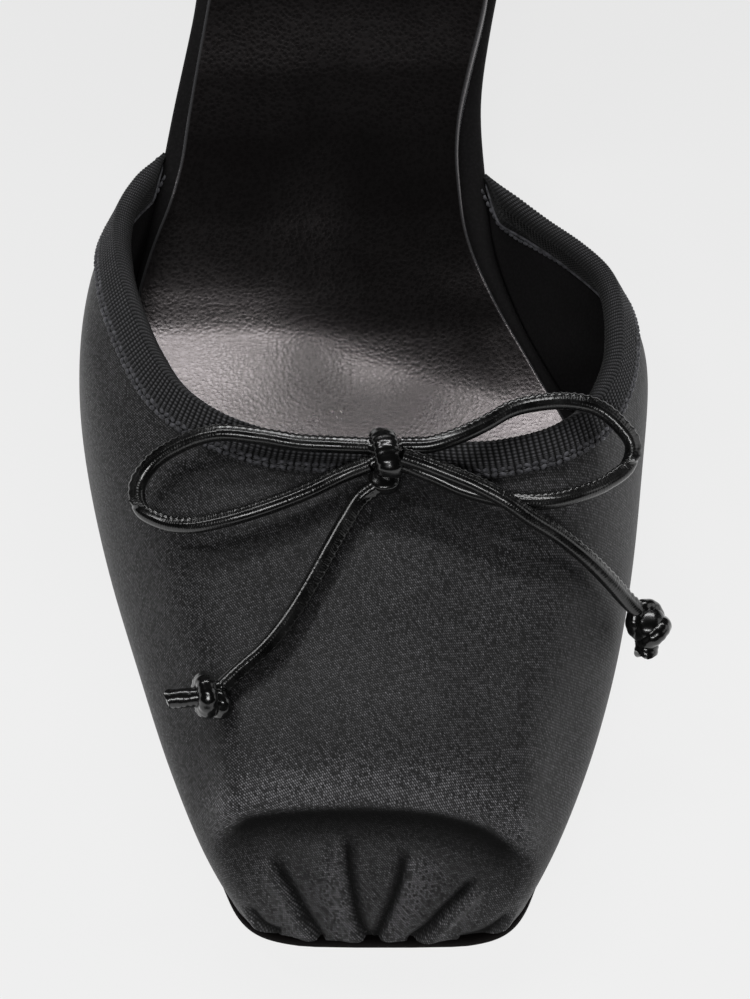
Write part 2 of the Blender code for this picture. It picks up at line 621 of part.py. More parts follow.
def build_bottom(walls, mats):
    """Outsole, insole and sock, each following the sole's profile, and the heel under the seat."""
    (vamp, vamp_inner), (counter, counter_inner) = walls
    edges = sole_edges(*bottom_edges(vamp[:, 0, :2], counter[:, 0, :2]))
    plate("outsole", stations(*edges, 52), 0.0, ((0.7, 0.0), (0.0, 0.7), (0.0, OUTSOLE_THICK)), mats["sole"])
    inside = bottom_edges(inner_foot(vamp, vamp_inner), inner_foot(counter, counter_inner))
    pairs = stations(*inside, 58, (0.3, 0.3))
    base = OUTSOLE_THICK + FIT_GAP
    plate("insole", pairs, base, ((0.0, 0.0), (0.0, 1.5), (0.6, INSOLE_THICK)), mats["lining"])
    base += INSOLE_THICK + FIT_GAP
    pairs = smooth(SOCK_ROWS, np.linspace(0, 1, 54))
    plate("sock", pairs, base, ((0.0, 0.0), (0.0, 0.5), (0.4, SOCK_THICK)), mats["leather"])
    seat = [line[line[:, 1] > HEEL_BREAST] for line in edges]
    rings = heel_rings(stations(*seat, 14, (0.3, 0.3)))
    stacked("heel", rings, mats["satin"])
    foot = [rings[-1] * (1, 1, 0) + (0, 0, z) for z in (0.0, TOP_PIECE_THICK - FIT_GAP)]
    stacked("heel_top_piece", np.array(foot), mats["rubber"])


def build_bow(leather):
    """Cord bow on the throat: two loops, two tails and their knots."""
    cord("bow_loop_lateral", LATERAL_LOOP, leather)
    cord("bow_loop_medial", MEDIAL_LOOP, leather)
    cord("bow_tail_lateral", LATERAL_TAIL, leather)
    cord("bow_tail_medial", MEDIAL_TAIL, leather)
    for name, knot in BOW_KNOTS.items():
        lump(name, knot.centre, knot.radii, leather)


def build_ankle_tie(satin):
    """Flat tie from inside the counter round the ankle, knotted in front, with two hanging ends."""
    for word, side in (("lateral", -1.0), ("medial", 1.0)):
        strap(f"tie_{word}", TIE_ROUTE, side, (0, 0, 1), (1.0, 0.6), satin, 22)
        strap(f"tie_end_{word}", TIE_END_ROUTE, side, (1, 0, 0), (0.5, 1.0), satin, 12)
    lump("tie_knot", TIE_KNOT_CENTRE, TIE_KNOT_RADII, satin)


def main():
    clear_scene()
    mats = {
        "satin": material("black_satin", (0.03, 0.03, 0.034), 0.5),
        "grosgrain": material("black_grosgrain", (0.012, 0.012, 0.013), 0.7),
        "leather": material("black_grained_leather", (0.015, 0.013, 0.012), 0.35),
        "lining": material("black_lining", (0.012, 0.011, 0.011), 0.6),
        "sole": material("dark_brown_sole_leather", (0.02, 0.014, 0.011), 0.5),
        "cord": material("black_cord_leather", (0.008, 0.008, 0.008), 0.22),
        "rubber": material("black_rubber", (0.01, 0.01, 0.01), 0.8),
    }
    build_bottom(build_upper(mats["satin"], mats["grosgrain"]), mats)
    build_bow(mats["cord"])
    build_ankle_tie(mats["satin"])


main()
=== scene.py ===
"""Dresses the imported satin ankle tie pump, as a Blender add-on that is run as a script.

Tables are in millimetres and repeat the part's own sizes: x towards the medial side, "back" from the
tip of the toe towards the heel, z up from the floor. Meshes are in metres, in the part's own frame.
"""

import math
from collections import namedtuple

import bmesh
import bpy
import mathutils
import numpy as np
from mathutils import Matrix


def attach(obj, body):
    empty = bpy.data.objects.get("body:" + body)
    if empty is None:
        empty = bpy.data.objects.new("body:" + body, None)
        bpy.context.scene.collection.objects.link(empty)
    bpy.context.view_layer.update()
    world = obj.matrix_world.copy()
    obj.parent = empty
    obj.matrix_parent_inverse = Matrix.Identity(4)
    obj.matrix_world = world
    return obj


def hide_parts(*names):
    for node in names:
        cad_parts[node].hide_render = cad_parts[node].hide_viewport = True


bl_info = {
    "name": "Satin ankle tie pump",
    "version": (1, 0, 0),
    "blender": (4, 5, 0),
    "location": "View3D > Sidebar > Pump",
    "description": "Builds the dressed pump around its packed solids",
    "category": "Object",
}

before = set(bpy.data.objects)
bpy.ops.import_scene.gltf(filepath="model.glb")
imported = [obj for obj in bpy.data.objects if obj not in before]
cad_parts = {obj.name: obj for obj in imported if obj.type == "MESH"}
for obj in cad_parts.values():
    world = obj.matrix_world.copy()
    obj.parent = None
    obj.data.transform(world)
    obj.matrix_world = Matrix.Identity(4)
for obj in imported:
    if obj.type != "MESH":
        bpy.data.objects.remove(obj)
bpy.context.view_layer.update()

MM = 0.001


def table(columns, *rows):
    """Rows of a table as tuples with named columns."""
    row = namedtuple("Row", columns)
    return tuple(row(*values) for values in rows)


# Sizes that the part's source drives
TOE_TO_BALL = 92.0
UPPER_WALL = 1.6
FIT_GAP = 0.3
OUTSOLE_THICK = 2.5
INSOLE_THICK = 2.2
TAPE_WIDTH = 5.4
TAPE_THICK = 0.6
TOP_PIECE_THICK = 5.0
HEEL_BREAST = 193.0
HEEL_CENTRE_X = -0.6
TIE_WIDTH = 8.0
TIE_THICK = 1.6

# The photograph's camera: elevation, distance, focal length in sensor widths, and the point it looks at
CAMERA_ELEVATION = math.radians(55.0)
CAMERA_DISTANCE = 0.85
CAMERA_LENS = 204.6
CAMERA_TARGET = (0.0, -0.0224, 0.02)

# Underside of the outsole along the shoe: toe spring, flat tread, shank, heel seat
SOLE_PROFILE = table(
    "back height",
    (0.0, 4.8), (12.0, 3.1), (30.0, 1.4), (50.0, 0.35), (66.0, 0.0), (110.0, 0.0), (118.0, 0.6),
    (130.0, 3.0), (142.0, 7.4), (152.0, 12.6), (163.0, 19.5), (175.0, 27.0), (190.0, 35.0), (205.0, 41.2),
    (222.0, 46.4), (241.0, 50.0),
)

# Ribs of the upper: the vamp's from its lateral end round the toe, the counter's from its medial
# end round the back. Each runs from the feather line up the wall (belly), over the shoulder, to the rim.
RIB_COLUMNS = (
    "name feather_x feather_back belly_x belly_back belly_z "
    "shoulder_x shoulder_back shoulder_z swell rim_x rim_back rim_z"
)
VAMP_RIBS = table(
    RIB_COLUMNS,
    ("lateral_tip", -33.2, 142.3, -33.4, 142.2, 11.0, -33.4, 142.2, 11.4, 0, -33.3, 142.2, 11.8),
    ("lateral_waist", -36.2, 134.0, -37.0, 134.0, 10.6, -37.1, 134.2, 13.2, 0, -36.5, 134.4, 15.8),
    ("lateral_arch", -38.5, 126.0, -40.2, 126.0, 12.0, -40.0, 126.0, 16.6, 0, -38.8, 126.0, 20.3),
    ("lateral_side", -40.5, 117.0, -42.6, 117.5, 14.0, -42.0, 118.0, 20.0, 0, -39.5, 118.3, 24.1),
    ("lateral_joint", -41.8, 105.0, -44.4, 106.0, 16.5, -43.4, 107.0, 24.0, 0, -38.9, 108.8, 29.0),
    ("lateral_ball", -42.3, 92.0, -45.1, 93.0, 17.5, -43.4, 95.0, 27.0, 0.2, -37.0, 98.0, 33.0),
    ("lateral_fore", -41.2, 78.0, -43.6, 79.0, 16.5, -41.2, 82.5, 28.0, 0.3, -33.4, 86.0, 36.0),
    ("lateral_toes", -38.0, 62.0, -40.2, 62.5, 14.6, -37.0, 67.0, 27.0, 0.8, -29.3, 78.2, 37.1),
    ("lateral_vamp", -33.6, 45.0, -35.4, 45.5, 13.2, -31.0, 50.5, 25.4, 1.1, -23.0, 72.4, 37.8),
    ("lateral_cap", -28.6, 28.5, -30.4, 28.5, 12.2, -26.0, 32.0, 21.8, 1.0, -15.6, 69.0, 38.0),
    ("lateral_bend", -22.8, 12.4, -24.4, 12.4, 11.2, -21.8, 14.0, 18.2, 0.8, -9.8, 68.0, 38.0),
    ("lateral_corner", -17.9, 3.6, -19.0, 5.0, 11.4, -17.0, 10.8, 19.2, 0.7, -5.6, 67.7, 38.0),
    ("lateral_front", -9.6, 0.8, -9.6, 4.2, 12.8, -8.6, 12.7, 22.4, 0.7, -1.8, 67.5, 38.0),
    ("toe", 1.3, 0.5, 1.3, 4.0, 13.2, 1.3, 13.2, 23.6, 0.6, 1.9, 67.4, 38.0),
    ("medial_front", 12.2, 0.8, 12.2, 4.2, 12.8, 11.4, 12.7, 22.4, 0.7, 5.6, 67.2, 38.0),
    ("medial_corner", 19.6, 3.6, 20.6, 5.0, 11.4, 18.8, 10.8, 19.2, 0.7, 9.4, 66.9, 38.0),
    ("medial_bend", 24.1, 12.4, 25.6, 12.4, 11.2, 23.3, 14.0, 18.2, 0.8, 13.6, 66.8, 38.0),
    ("medial_cap", 29.8, 28.5, 31.5, 28.5, 12.2, 27.6, 32.0, 21.8, 1.0, 19.4, 67.4, 38.0),
    ("medial_vamp", 34.1, 45.0, 35.9, 45.5, 13.2, 32.4, 50.5, 25.4, 1.1, 26.6, 69.9, 37.9),
    ("medial_toes", 36.6, 61.0, 38.6, 61.5, 14.6, 36.4, 66.5, 27.0, 0.8, 32.6, 75.3, 37.1),
    ("medial_fore", 37.7, 75.0, 40.2, 76.0, 16.2, 39.4, 80.5, 27.6, 0.3, 35.9, 83.6, 35.4),
    ("medial_ball", 36.9, 87.0, 40.9, 88.5, 17.0, 40.6, 91.5, 26.0, 0.2, 36.6, 93.5, 32.3),
    ("medial_joint", 33.0, 97.0, 38.8, 98.5, 15.5, 39.4, 100.8, 23.0, 0, 36.3, 102.4, 28.5),
    ("medial_side", 28.2, 107.0, 34.2, 108.3, 13.2, 36.4, 109.3, 20.0, 0, 34.9, 109.5, 24.7),
    ("medial_arch", 24.3, 116.0, 29.2, 116.8, 11.4, 32.0, 117.2, 16.4, 0, 31.3, 117.4, 20.2),
    ("medial_shank", 21.3, 124.5, 24.8, 124.8, 10.0, 26.7, 125.0, 13.2, 0, 26.4, 125.1, 16.0),
    ("medial_waist", 19.0, 131.8, 20.8, 132.0, 9.4, 21.6, 132.2, 11.4, 0, 21.3, 132.3, 13.2),
    ("medial_tip", 17.3, 138.8, 17.5, 138.8, 9.5, 17.5, 138.9, 9.9, 0, 17.4, 139.0, 10.4),
)
COUNTER_RIBS = table(
    RIB_COLUMNS,
    ("medial_tip", 21.9, 174.0, 22.6, 174.2, 31.6, 22.9, 174.4, 33.2, 0, 22.8, 174.6, 34.8),
    ("medial_front", 25.4, 188.0, 27.4, 188.6, 43.0, 28.2, 189.2, 48.6, 0, 27.8, 189.8, 53.5),
    ("medial_side", 27.2, 203.0, 30.0, 204.4, 54.0, 30.2, 206.0, 65.0, 0, 28.4, 207.2, 75.0),
    ("medial_quarter", 25.7, 218.0, 28.2, 220.2, 61.0, 27.4, 222.6, 77.0, 0, 24.0, 222.8, 91.0),
    ("medial_back", 15.8, 233.2, 17.6, 236.6, 65.0, 16.4, 237.4, 85.0, 0, 13.4, 235.0, 99.0),
    ("back", -0.6, 239.2, -0.6, 243.4, 67.0, -0.6, 243.6, 88.0, 0, -0.6, 240.4, 102.0),
    ("lateral_back", -17.0, 233.2, -18.8, 236.6, 65.0, -17.6, 237.4, 85.0, 0, -14.6, 235.0, 99.0),
    ("lateral_quarter", -26.9, 218.0, -29.4, 220.2, 61.0, -28.6, 222.6, 77.0, 0, -25.2, 222.8, 91.0),
    ("lateral_side", -28.6, 203.0, -31.2, 204.4, 54.0, -31.4, 206.0, 65.0, 0, -29.6, 207.2, 75.0),
    ("lateral_front", -28.3, 188.0, -30.0, 188.6, 43.0, -30.6, 189.2, 48.6, 0, -30.0, 189.8, 53.5),
    ("lateral_tip", -27.8, 174.0, -28.4, 174.2, 31.6, -28.6, 174.4, 33.2, 0, -28.4, 174.6, 34.8),
)

# Bare edge of the footbed between vamp and counter, front to back
WAIST = table(
    "back lateral_x medial_x",
    (147.0, -32.3, 16.6), (152.0, -31.1, 16.8), (163.0, -28.2, 19.0), (170.6, -27.6, 21.0),
)

# How far the outsole stands out past the feather line
SOLE_EDGE = table(
    "back outset",
    (0.0, 0.3), (8.0, 0.1), (16.0, -0.5), (90.0, -0.5), (120.0, -0.9), (150.0, -2.2), (180.0, -1.6),
    (205.0, 0.2), (241.0, 0.5),
)

# The heel's sections, from its seat down to the top piece, as shares of the seat
HEEL_ROWS = table(
    "drop width depth centre_back",
    (0.0, 1.0, 1.0, 216.5), (0.12, 0.93, 0.94, 216.8), (0.4, 0.66, 0.7, 218.2), (0.7, 0.5, 0.53, 219.4),
    (1.0, 0.46, 0.48, 220.0),
)

# The ankle tie's lateral half, from inside the counter forward to the knot: x from the heel's middle
TIE_ROUTE = table(
    "side back z",
    (16.6, 228.5, 85.0), (20.6, 222.5, 86.0), (22.4, 216.0, 87.2), (24.6, 210.0, 88.6),
    (27.6, 200.0, 91.0), (27.6, 186.0, 94.8), (21.2, 173.0, 99.0), (11.0, 165.2, 101.6),
    (4.6, 163.4, 102.6),
)
TIE_END_ROUTE = table(
    "side back z",
    (2.4, 159.4, 98.5), (4.2, 157.6, 93.0), (7.6, 156.0, 81.0), (10.4, 156.6, 66.0), (11.8, 158.6, 50.0),
)
TIE_KNOT_CENTRE = (-0.6, 162.6, 102.6)
TIE_KNOT_RADII = (4.6, 3.4, 5.0)

# The bow's cord: its diameter, and the routes of loops and tails from the knot, in metres
CORD_DIAMETER = 0.0024
LATERAL_LOOP = table(
    "x y z",
    (-0.0008, -0.0276, 0.0408), (-0.0051, -0.0270, 0.0403), (-0.0110, -0.0264, 0.0400),
    (-0.0171, -0.0252, 0.0400), (-0.0235, -0.0244, 0.0396), (-0.0287, -0.0248, 0.0373),
    (-0.0328, -0.0263, 0.0347), (-0.0349, -0.0289, 0.0326), (-0.0346, -0.0316, 0.0313),
    (-0.0316, -0.0344, 0.0317), (-0.0271, -0.0365, 0.0334), (-0.0212, -0.0366, 0.0354),
    (-0.0153, -0.0353, 0.0367), (-0.0095, -0.0333, 0.0378), (-0.0044, -0.0311, 0.0389),
    (-0.0008, -0.0303, 0.0402),
)
MEDIAL_LOOP = table(
    "x y z",
    (0.0040, -0.0275, 0.0408), (0.0080, -0.0276, 0.0412), (0.0117, -0.0266, 0.0417),
    (0.0161, -0.0243, 0.0420), (0.0198, -0.0218, 0.0420), (0.0242, -0.0202, 0.0415),
    (0.0284, -0.0193, 0.0406), (0.0324, -0.0195, 0.0395), (0.0358, -0.0214, 0.0379),
    (0.0379, -0.0240, 0.0360), (0.0373, -0.0263, 0.0345), (0.0343, -0.0290, 0.0340),
    (0.0300, -0.0320, 0.0350), (0.0256, -0.0339, 0.0359), (0.0212, -0.0345, 0.0366),
    (0.0168, -0.0339, 0.0370), (0.0127, -0.0328, 0.0375), (0.0088, -0.0313, 0.0384),
    (0.0056, -0.0304, 0.0393), (0.0040, -0.0302, 0.0401),
)
LATERAL_TAIL = table(
    "x y z",
    (0.0002, -0.0331, 0.0388), (-0.0019, -0.0342, 0.0377), (-0.0044, -0.0377, 0.0363),
    (-0.0067, -0.0417, 0.0350), (-0.0094, -0.0465, 0.0333), (-0.0126, -0.0515, 0.0315),
    (-0.0161, -0.0556, 0.0299), (-0.0195, -0.0583, 0.0285), (-0.0220, -0.0604, 0.0274),
)
MEDIAL_TAIL = table(
    "x y z",
    (0.0039, -0.0309, 0.0430), (0.0073, -0.0316, 0.0420), (0.0111, -0.0328, 0.0411),
    (0.0150, -0.0341, 0.0401), (0.0189, -0.0360, 0.0392), (0.0226, -0.0376, 0.0370),
    (0.0264, -0.0387, 0.0345), (0.0307, -0.0404, 0.0311), (0.0344, -0.0418, 0.0268),
    (0.0374, -0.0428, 0.0226), (0.0386, -0.0432, 0.0212),
)

# Plan outline of the sock, toe to heel
SOCK_ROWS = table(
    "back lateral medial",
    (9.0, -14.0, 15.0), (12.0, -18.2, 18.6), (20.0, -22.0, 22.2), (40.0, -28.6, 28.2),
    (60.0, -34.0, 31.8), (78.0, -37.6, 32.8), (90.0, -38.8, 31.0), (104.0, -38.6, 24.6),
    (117.6, -37.4, 17.9), (127.6, -34.8, 14.4), (134.0, -32.4, 13.5), (140.0, -30.7, 13.1),
    (145.0, -29.9, 13.5), (151.0, -28.8, 14.9), (163.0, -26.3, 18.0), (174.0, -24.4, 18.4),
    (190.0, -24.9, 22.2), (205.0, -25.1, 23.8), (218.0, -23.2, 22.0), (226.0, -19.0, 17.8),
    (232.0, -13.4, 12.2), (235.5, -6.0, 4.8),
)

# The bow's knots: rings of cord about a core, with the radii of ring and cord, and a cut end
Knot = namedtuple("Knot", "centre core rings stub stub_thick")
BOW_CENTRE = (1.6, 63.0, 41.1)
BOW_CORE = (1.8, 2.6, 1.5)
BOW_TUCK = (1.4, 59.9, 38.9)
BOW_TUCK_RADII = (2.4, 2.3, 1.6)
TAIL_KNOTS = {
    "tail_knot_lateral": Knot(
        (-24.4, 30.0, 26.9), (1.5, 1.7, 1.6),
        table(
            "offset axis reach thick",
            ((-0.2, 0.1, 0.1), (-1.0, -0.25, 0.15), 2.0, 1.5),
            ((1.7, -0.7, -0.8), (-0.8, -0.6, 0.3), 1.3, 1.15),
        ),
        (-5.6, -0.2, -0.5), 1.45,
    ),
    "tail_knot_medial": Knot(
        (40.4, 47.8, 18.6), (2.6, 3.0, 2.6),
        table(
            "offset axis reach thick",
            ((-0.5, 0.6, 0.6), (0.5, -0.6, 0.6), 1.9, 1.35),
            ((0.7, -0.9, -0.5), (-0.65, 0.45, 0.6), 1.8, 1.35),
        ),
        (-0.4, -3.5, -2.6), 1.75,
    ),
}

# Finer details of the pieces, in millimetres
CORD_STEP = 0.22
SEAM_STITCH = 1.05
RIB_HEIGHT = 0.2
TAPE_LIFT = 0.12
SATIN_THICK = 0.78
SKIN_GAP = 0.05
RIPPLE_HEIGHT = 0.05
ARCH_HEIGHT = 1.6
FLOOR_RADIUS = 3000.0
# Length round the tape at which its inner face begins, and its painted shade with it
TAPE_TURN = 10.4
# Lengths over which a wall thins out at its ends, and over which its normals turn level at its foot
THIN_RUN = 10.0
LEVEL_RUN = 9.0
# Places along the shoe between which the footbed's edge follows the bare waist
FOOTBED_COVERS = (127.0, 187.0)
# Slant of the satin's floats, and the point in metres that the lights face
TWILL_SLANT = math.radians(39.0)
LIGHTS_AIM = (0.0, 0.0, 0.02)

# How finely the pieces are divided, and how often their kinks are averaged out
FINE_STEPS = 361
COARSE = 4
CALM_PASSES = 80
VAMP_FOOT, COUNTER_FOOT = 241, 161
BOTTOM_STATIONS = 260
RIB_STATIONS = 6

# The binding's section from its stitched edge (share 0) to the rim (1): thickness and height of its ribs
TAPE_PROFILE = table(
    "share thick ridge",
    (0.0, 0.3, 0.0), (0.02, 0.7, 0.0), (0.1, 0.8, 0.2), (0.2, 0.8, 0.2), (0.25, 0.95, 0.5),
    (0.29, 1.1, 0.7), (0.33, 0.95, 0.6), (0.4, 1.0, 1.0), (0.55, 1.0, 1.0), (0.7, 1.0, 1.0),
    (0.85, 1.0, 1.0), (1.0, 1.0, 0.9),
)
# Rows of stitches on it: share, outer (+1) or inner (-1) face, and the slant of the stitches
STITCH_ROWS = table("share face slant", (0.06, 1, 0.4), (0.2, 1, 0.3), (-0.12, -1, 0.0))

# Edge profiles, lower level first; dye is the share of the edge's own colour
OUTSOLE_LEVELS = table(
    "inset height dye",
    (1.3, 0.0, 0.0), (0.8, 0.06, 0.0), (0.35, 0.3, 0.3), (0.1, 0.7, 0.9), (0.0, 1.2, 1.0), (0.0, 1.8, 1.0),
    (0.12, 2.3, 1.0), (0.4, 2.5, 1.0),
)
INSOLE_LEVELS = table(
    "inset height", (0.3, 0.0), (0.0, 0.3), (0.0, 0.9), (0.15, 1.4), (0.5, 1.8), (1.1, 2.1), (1.9, 2.2)
)
SOCK_LEVELS = table(
    "inset height dye", (0.0, 0.0, 1.0), (0.0, 0.45, 1.0), (0.1, 0.7, 1.0), (0.35, 0.8, 0.6), (0.6, 0.8, 0.0)
)
TOP_PIECE_LEVELS = table(
    "share z", (0.94, 0.0), (0.99, 0.3), (1.0, 0.8), (1.0, 4.3), (0.99, 4.65), (0.96, 4.7)
)

# Softboxes: place, width and depth in metres, and the setting that holds its watts
SOFTBOXES = (
    ("back_softbox", (0.0, 0.688, 0.926), (0.9, 0.12), "back"),
    ("front_softbox", (-0.107, -0.79, 0.868), (0.5, 0.12), "front"),
    ("medial_softbox", (1.05, 0.165, 0.451), (0.8, 0.7), "medial"),
    ("lateral_softbox", (-0.643, 0.36, 0.929), (0.16, 0.4), "lateral"),
)

# Where the main creases lie on the toe, top to bottom: pleats gathered to the sole, and the ledge over the
# arched edge of the toe's facet. Depth and roll are heights. The trough is `width` wide towards the roll and
# `soft` wide away from it; side is the side of the roll: +1 is towards the medial side. The crease fades in
# over the first share of its line and out over the last.
CREASES = table(
    "name depth width soft roll roll_width side first last points",
    (
        "corner_lateral", 0.6, 0.5, 0.8, 0.5, 0.8, -1, 0.3, 0.05,
        ((-18.7, 4.7, 11.1), (-18.0, 4.1, 10.2), (-16.1, 2.7, 8.2), (-13.5, 1.7, 7.6)),
    ),
    (
        "fold_lateral", 1.1, 0.42, 0.8, 0.7, 1.1, -1, 0.25, 0.01,
        ((-15.2, 9.4, 18.6), (-13.8, 7.1, 16.3), (-11.8, 4.9, 13.6), (-10.1, 2.9, 10.8), (-7.6, 0.6, 7.2)),
    ),
    (
        "fold_middle_lateral", 1.1, 0.42, 1.1, 0.55, 1.2, -1, 0.2, 0.01,
        ((-4.0, 11.0, 21.5), (-3.9, 7.6, 17.8), (-3.2, 4.4, 13.6), (-2.2, 1.7, 9.6), (-0.9, 0.4, 7.2)),
    ),
    (
        "fold_middle_medial", 1.0, 0.42, 1.1, 0.45, 1.3, 1, 0.25, 0.01,
        ((4.9, 9.8, 20.3), (3.8, 6.0, 16.0), (2.7, 3.8, 12.9), (1.2, 1.7, 9.6), (0.2, 0.4, 7.2)),
    ),
    (
        "fold_medial", 1.05, 0.42, 0.8, 0.8, 0.95, 1, 0.25, 0.01,
        ((15.4, 6.9, 16.0), (12.6, 4.8, 13.5), (10.2, 3.2, 11.6), (7.7, 1.5, 9.2), (4.9, 0.5, 7.2)),
    ),
    (
        "corner_medial", 0.65, 0.5, 0.8, 0.5, 0.8, 1, 0.3, 0.05,
        ((19.7, 4.2, 10.7), (19.2, 3.6, 9.4), (16.4, 1.9, 7.8), (12.0, 0.8, 7.2)),
    ),
    (
        "ledge", 1.5, 0.8, 4.4, 0.55, 2.2, 1, 0.14, 0.14,
        (
            (-23.3, 11.4, 13.4), (-21.6, 12.1, 17.0), (-18.7, 12.8, 20.3), (-14.3, 13.0, 21.7),
            (-9.9, 12.9, 22.4), (-1.5, 12.7, 23.1), (7.3, 12.3, 22.6), (11.5, 11.9, 21.7),
            (15.9, 11.0, 20.3), (19.5, 9.7, 17.9), (23.5, 9.0, 13.1),
        ),
    ),
)


def placed(points):
    """Table millimetres as metres in the part's frame."""
    points = np.asarray(points, float)
    return np.stack([points[..., 0], points[..., 1] - TOE_TO_BALL, points[..., 2]], -1) * MM


def tabled(points):
    """Metres in the part's frame as table millimetres."""
    points = np.asarray(points, float) / MM
    return np.stack([points[..., 0], points[..., 1] + TOE_TO_BALL, points[..., 2]], -1)


def unit(vectors):
    """Vectors at length 1."""
    return vectors / np.linalg.norm(vectors, axis=-1, keepdims=True)


def circle(count):
    """Angles of even steps once round a circle."""
    return np.linspace(0, 2 * math.pi, count, endpoint=False)


def gentle(share):
    """A share held within 0 to 1 that starts and ends gently: 3 s^2 - 2 s^3."""
    share = np.clip(share, 0, 1)
    return share * share * (3 - 2 * share)


def hermite(t, span, first, second, first_slope, second_slope):
    """Cubic from the first value to the second over a span, t running from 0 to 1."""
    return (
        first * (2 * t**3 - 3 * t**2 + 1)
        + first_slope * span * (t**3 - 2 * t**2 + t)
        + second * (3 * t**2 - 2 * t**3)
        + second_slope * span * (t**3 - t**2)
    )


def slopes(points, knots):
    """Tangents of a smooth curve through points at uneven knots, along the second last axis."""
    step = np.diff(knots, axis=-1)[..., None]
    rise = np.diff(points, axis=-2) / step
    before, after = step[..., :-1, :], step[..., 1:, :]
    inner = (rise[..., :-1, :] * after + rise[..., 1:, :] * before) / (after + before)
    return np.concatenate([rise[..., :1, :], inner, rise[..., -1:, :]], axis=-2)


def smooth(points, at, knots=None):
    """Cubic Hermite curve through the points, read at the shares `at` of its knots (0 to 1)."""
    points = np.asarray(points, float)
    if knots is None:
        chord = np.linalg.norm(np.diff(points, axis=-2), axis=-1)
        knots = np.concatenate([np.zeros_like(chord[..., :1]), np.cumsum(chord, axis=-1)], axis=-1)
    tangent = slopes(points, knots)
    wanted = knots[..., -1:] * np.asarray(at, float)
    span = np.clip((wanted[..., None] >= knots[..., None, 1:-1]).sum(-1), 0, knots.shape[-1] - 2)
    k0 = np.take_along_axis(knots, span, -1)
    width = np.take_along_axis(knots, span + 1, -1) - k0
    t = ((wanted - k0) / width)[..., None]
    first, second = span[..., None], span[..., None] + 1
    ends = [np.take_along_axis(values, at, -2) for values in (points, tangent) for at in (first, second)]
    return hermite(t, width[..., None], *ends)


def run_of(line):
    """Length along each line [..., point, 3], from 0 at its first point."""
    step = np.linalg.norm(np.diff(line, axis=-2), axis=-1).cumsum(-1)
    return np.concatenate([np.zeros_like(step[..., :1]), step], -1)


def read_line(line, run, at):
    """A line's values [point, k] at the lengths `at` along it."""
    return np.stack([np.interp(at, run, line[:, k]) for k in range(line.shape[1])], -1)


def underside(back):
    """Height of the outsole's underside: a cubic that never overshoots its rows, so the tread is flat."""
    x, y = np.array(SOLE_PROFILE, float).T
    step = np.diff(x)
    rise = np.diff(y) / step
    same_way = rise[:-1] * rise[1:] > 0
    mean = 2 * rise[:-1] * rise[1:] / np.where(same_way, rise[:-1] + rise[1:], 1.0)
    tangent = np.concatenate([rise[:1], np.where(same_way, mean, 0.0), rise[-1:]])
    back = np.clip(np.asarray(back, float), x[0], x[-1])
    i = np.clip(np.searchsorted(x, back, side="right") - 1, 0, len(step) - 1)
    return hermite((back - x[i]) / step[i], step[i], y[i], y[i + 1], tangent[i], tangent[i + 1])


def lift(back, thickness):
    """Vertical thickness of a layer of the given thickness, measured square to the sloping sole."""
    slope = underside(np.asarray(back) + 0.5) - underside(np.asarray(back) - 0.5)
    return thickness * np.sqrt(1.0 + slope**2)


def feather_height(back):
    """The upper's lower edge, just above the outsole."""
    return underside(back) + lift(back, OUTSOLE_THICK + FIT_GAP)


def rib_controls(ribs, across):
    """Feather, belly, shoulder, middle and rim of the ribs at the shares `across` of a rib table."""
    rows = np.array([rib[1:] for rib in ribs], float)
    c = smooth(rows, across, np.arange(len(rows), dtype=float))
    feather = np.stack([c[:, 0], c[:, 1], feather_height(c[:, 1])], -1)
    belly, shoulder, rim = c[:, 2:5], c[:, 5:8], c[:, 9:12]
    middle = (shoulder + rim) / 2
    middle[:, 2] += c[:, 8]
    return np.stack([feather, belly, shoulder, middle, rim], 1)


def skin(ribs, across, steps_of):
    """Outside of the upper as a grid [rib, step], and each rib's length.

    A rib is a cubic through its control points. It is read at the shares of its own length, from the
    feather line to the rim, that steps_of(lengths) gives for every rib."""
    fine = smooth(rib_controls(ribs, across), np.linspace(0, 1, FINE_STEPS))
    run = run_of(fine)
    length = run[:, -1]
    at = steps_of(length) * length[:, None]
    return np.stack([read_line(line, r, a) for line, r, a in zip(fine, run, at)]), length


def tape_share(length):
    """Share of a rib that lies under the binding: its width, or less where the wall runs out."""
    return np.minimum(TAPE_WIDTH, 0.62 * length) / length


def outward(grid, level=None):
    """Unit normals of a skin grid; `level` (0 to 1 per step) turns them level towards the feather line."""
    normal = np.cross(np.gradient(grid, axis=0), np.gradient(grid, axis=1))
    if level is not None:
        normal[..., 2] *= level
    return unit(normal)


def eased(count, crowd, centre, spread):
    """Shares 0 to 1 that lie `crowd` times closer together round `centre`."""
    even = np.linspace(0, 1, 2001)
    weight = 1 + (crowd - 1) * np.exp(-(((even - centre) / spread) ** 2))
    total = np.concatenate([[0], np.cumsum((weight[1:] + weight[:-1]) / 2)])
    return np.interp(np.linspace(0, 1, count), total / total[-1], even)


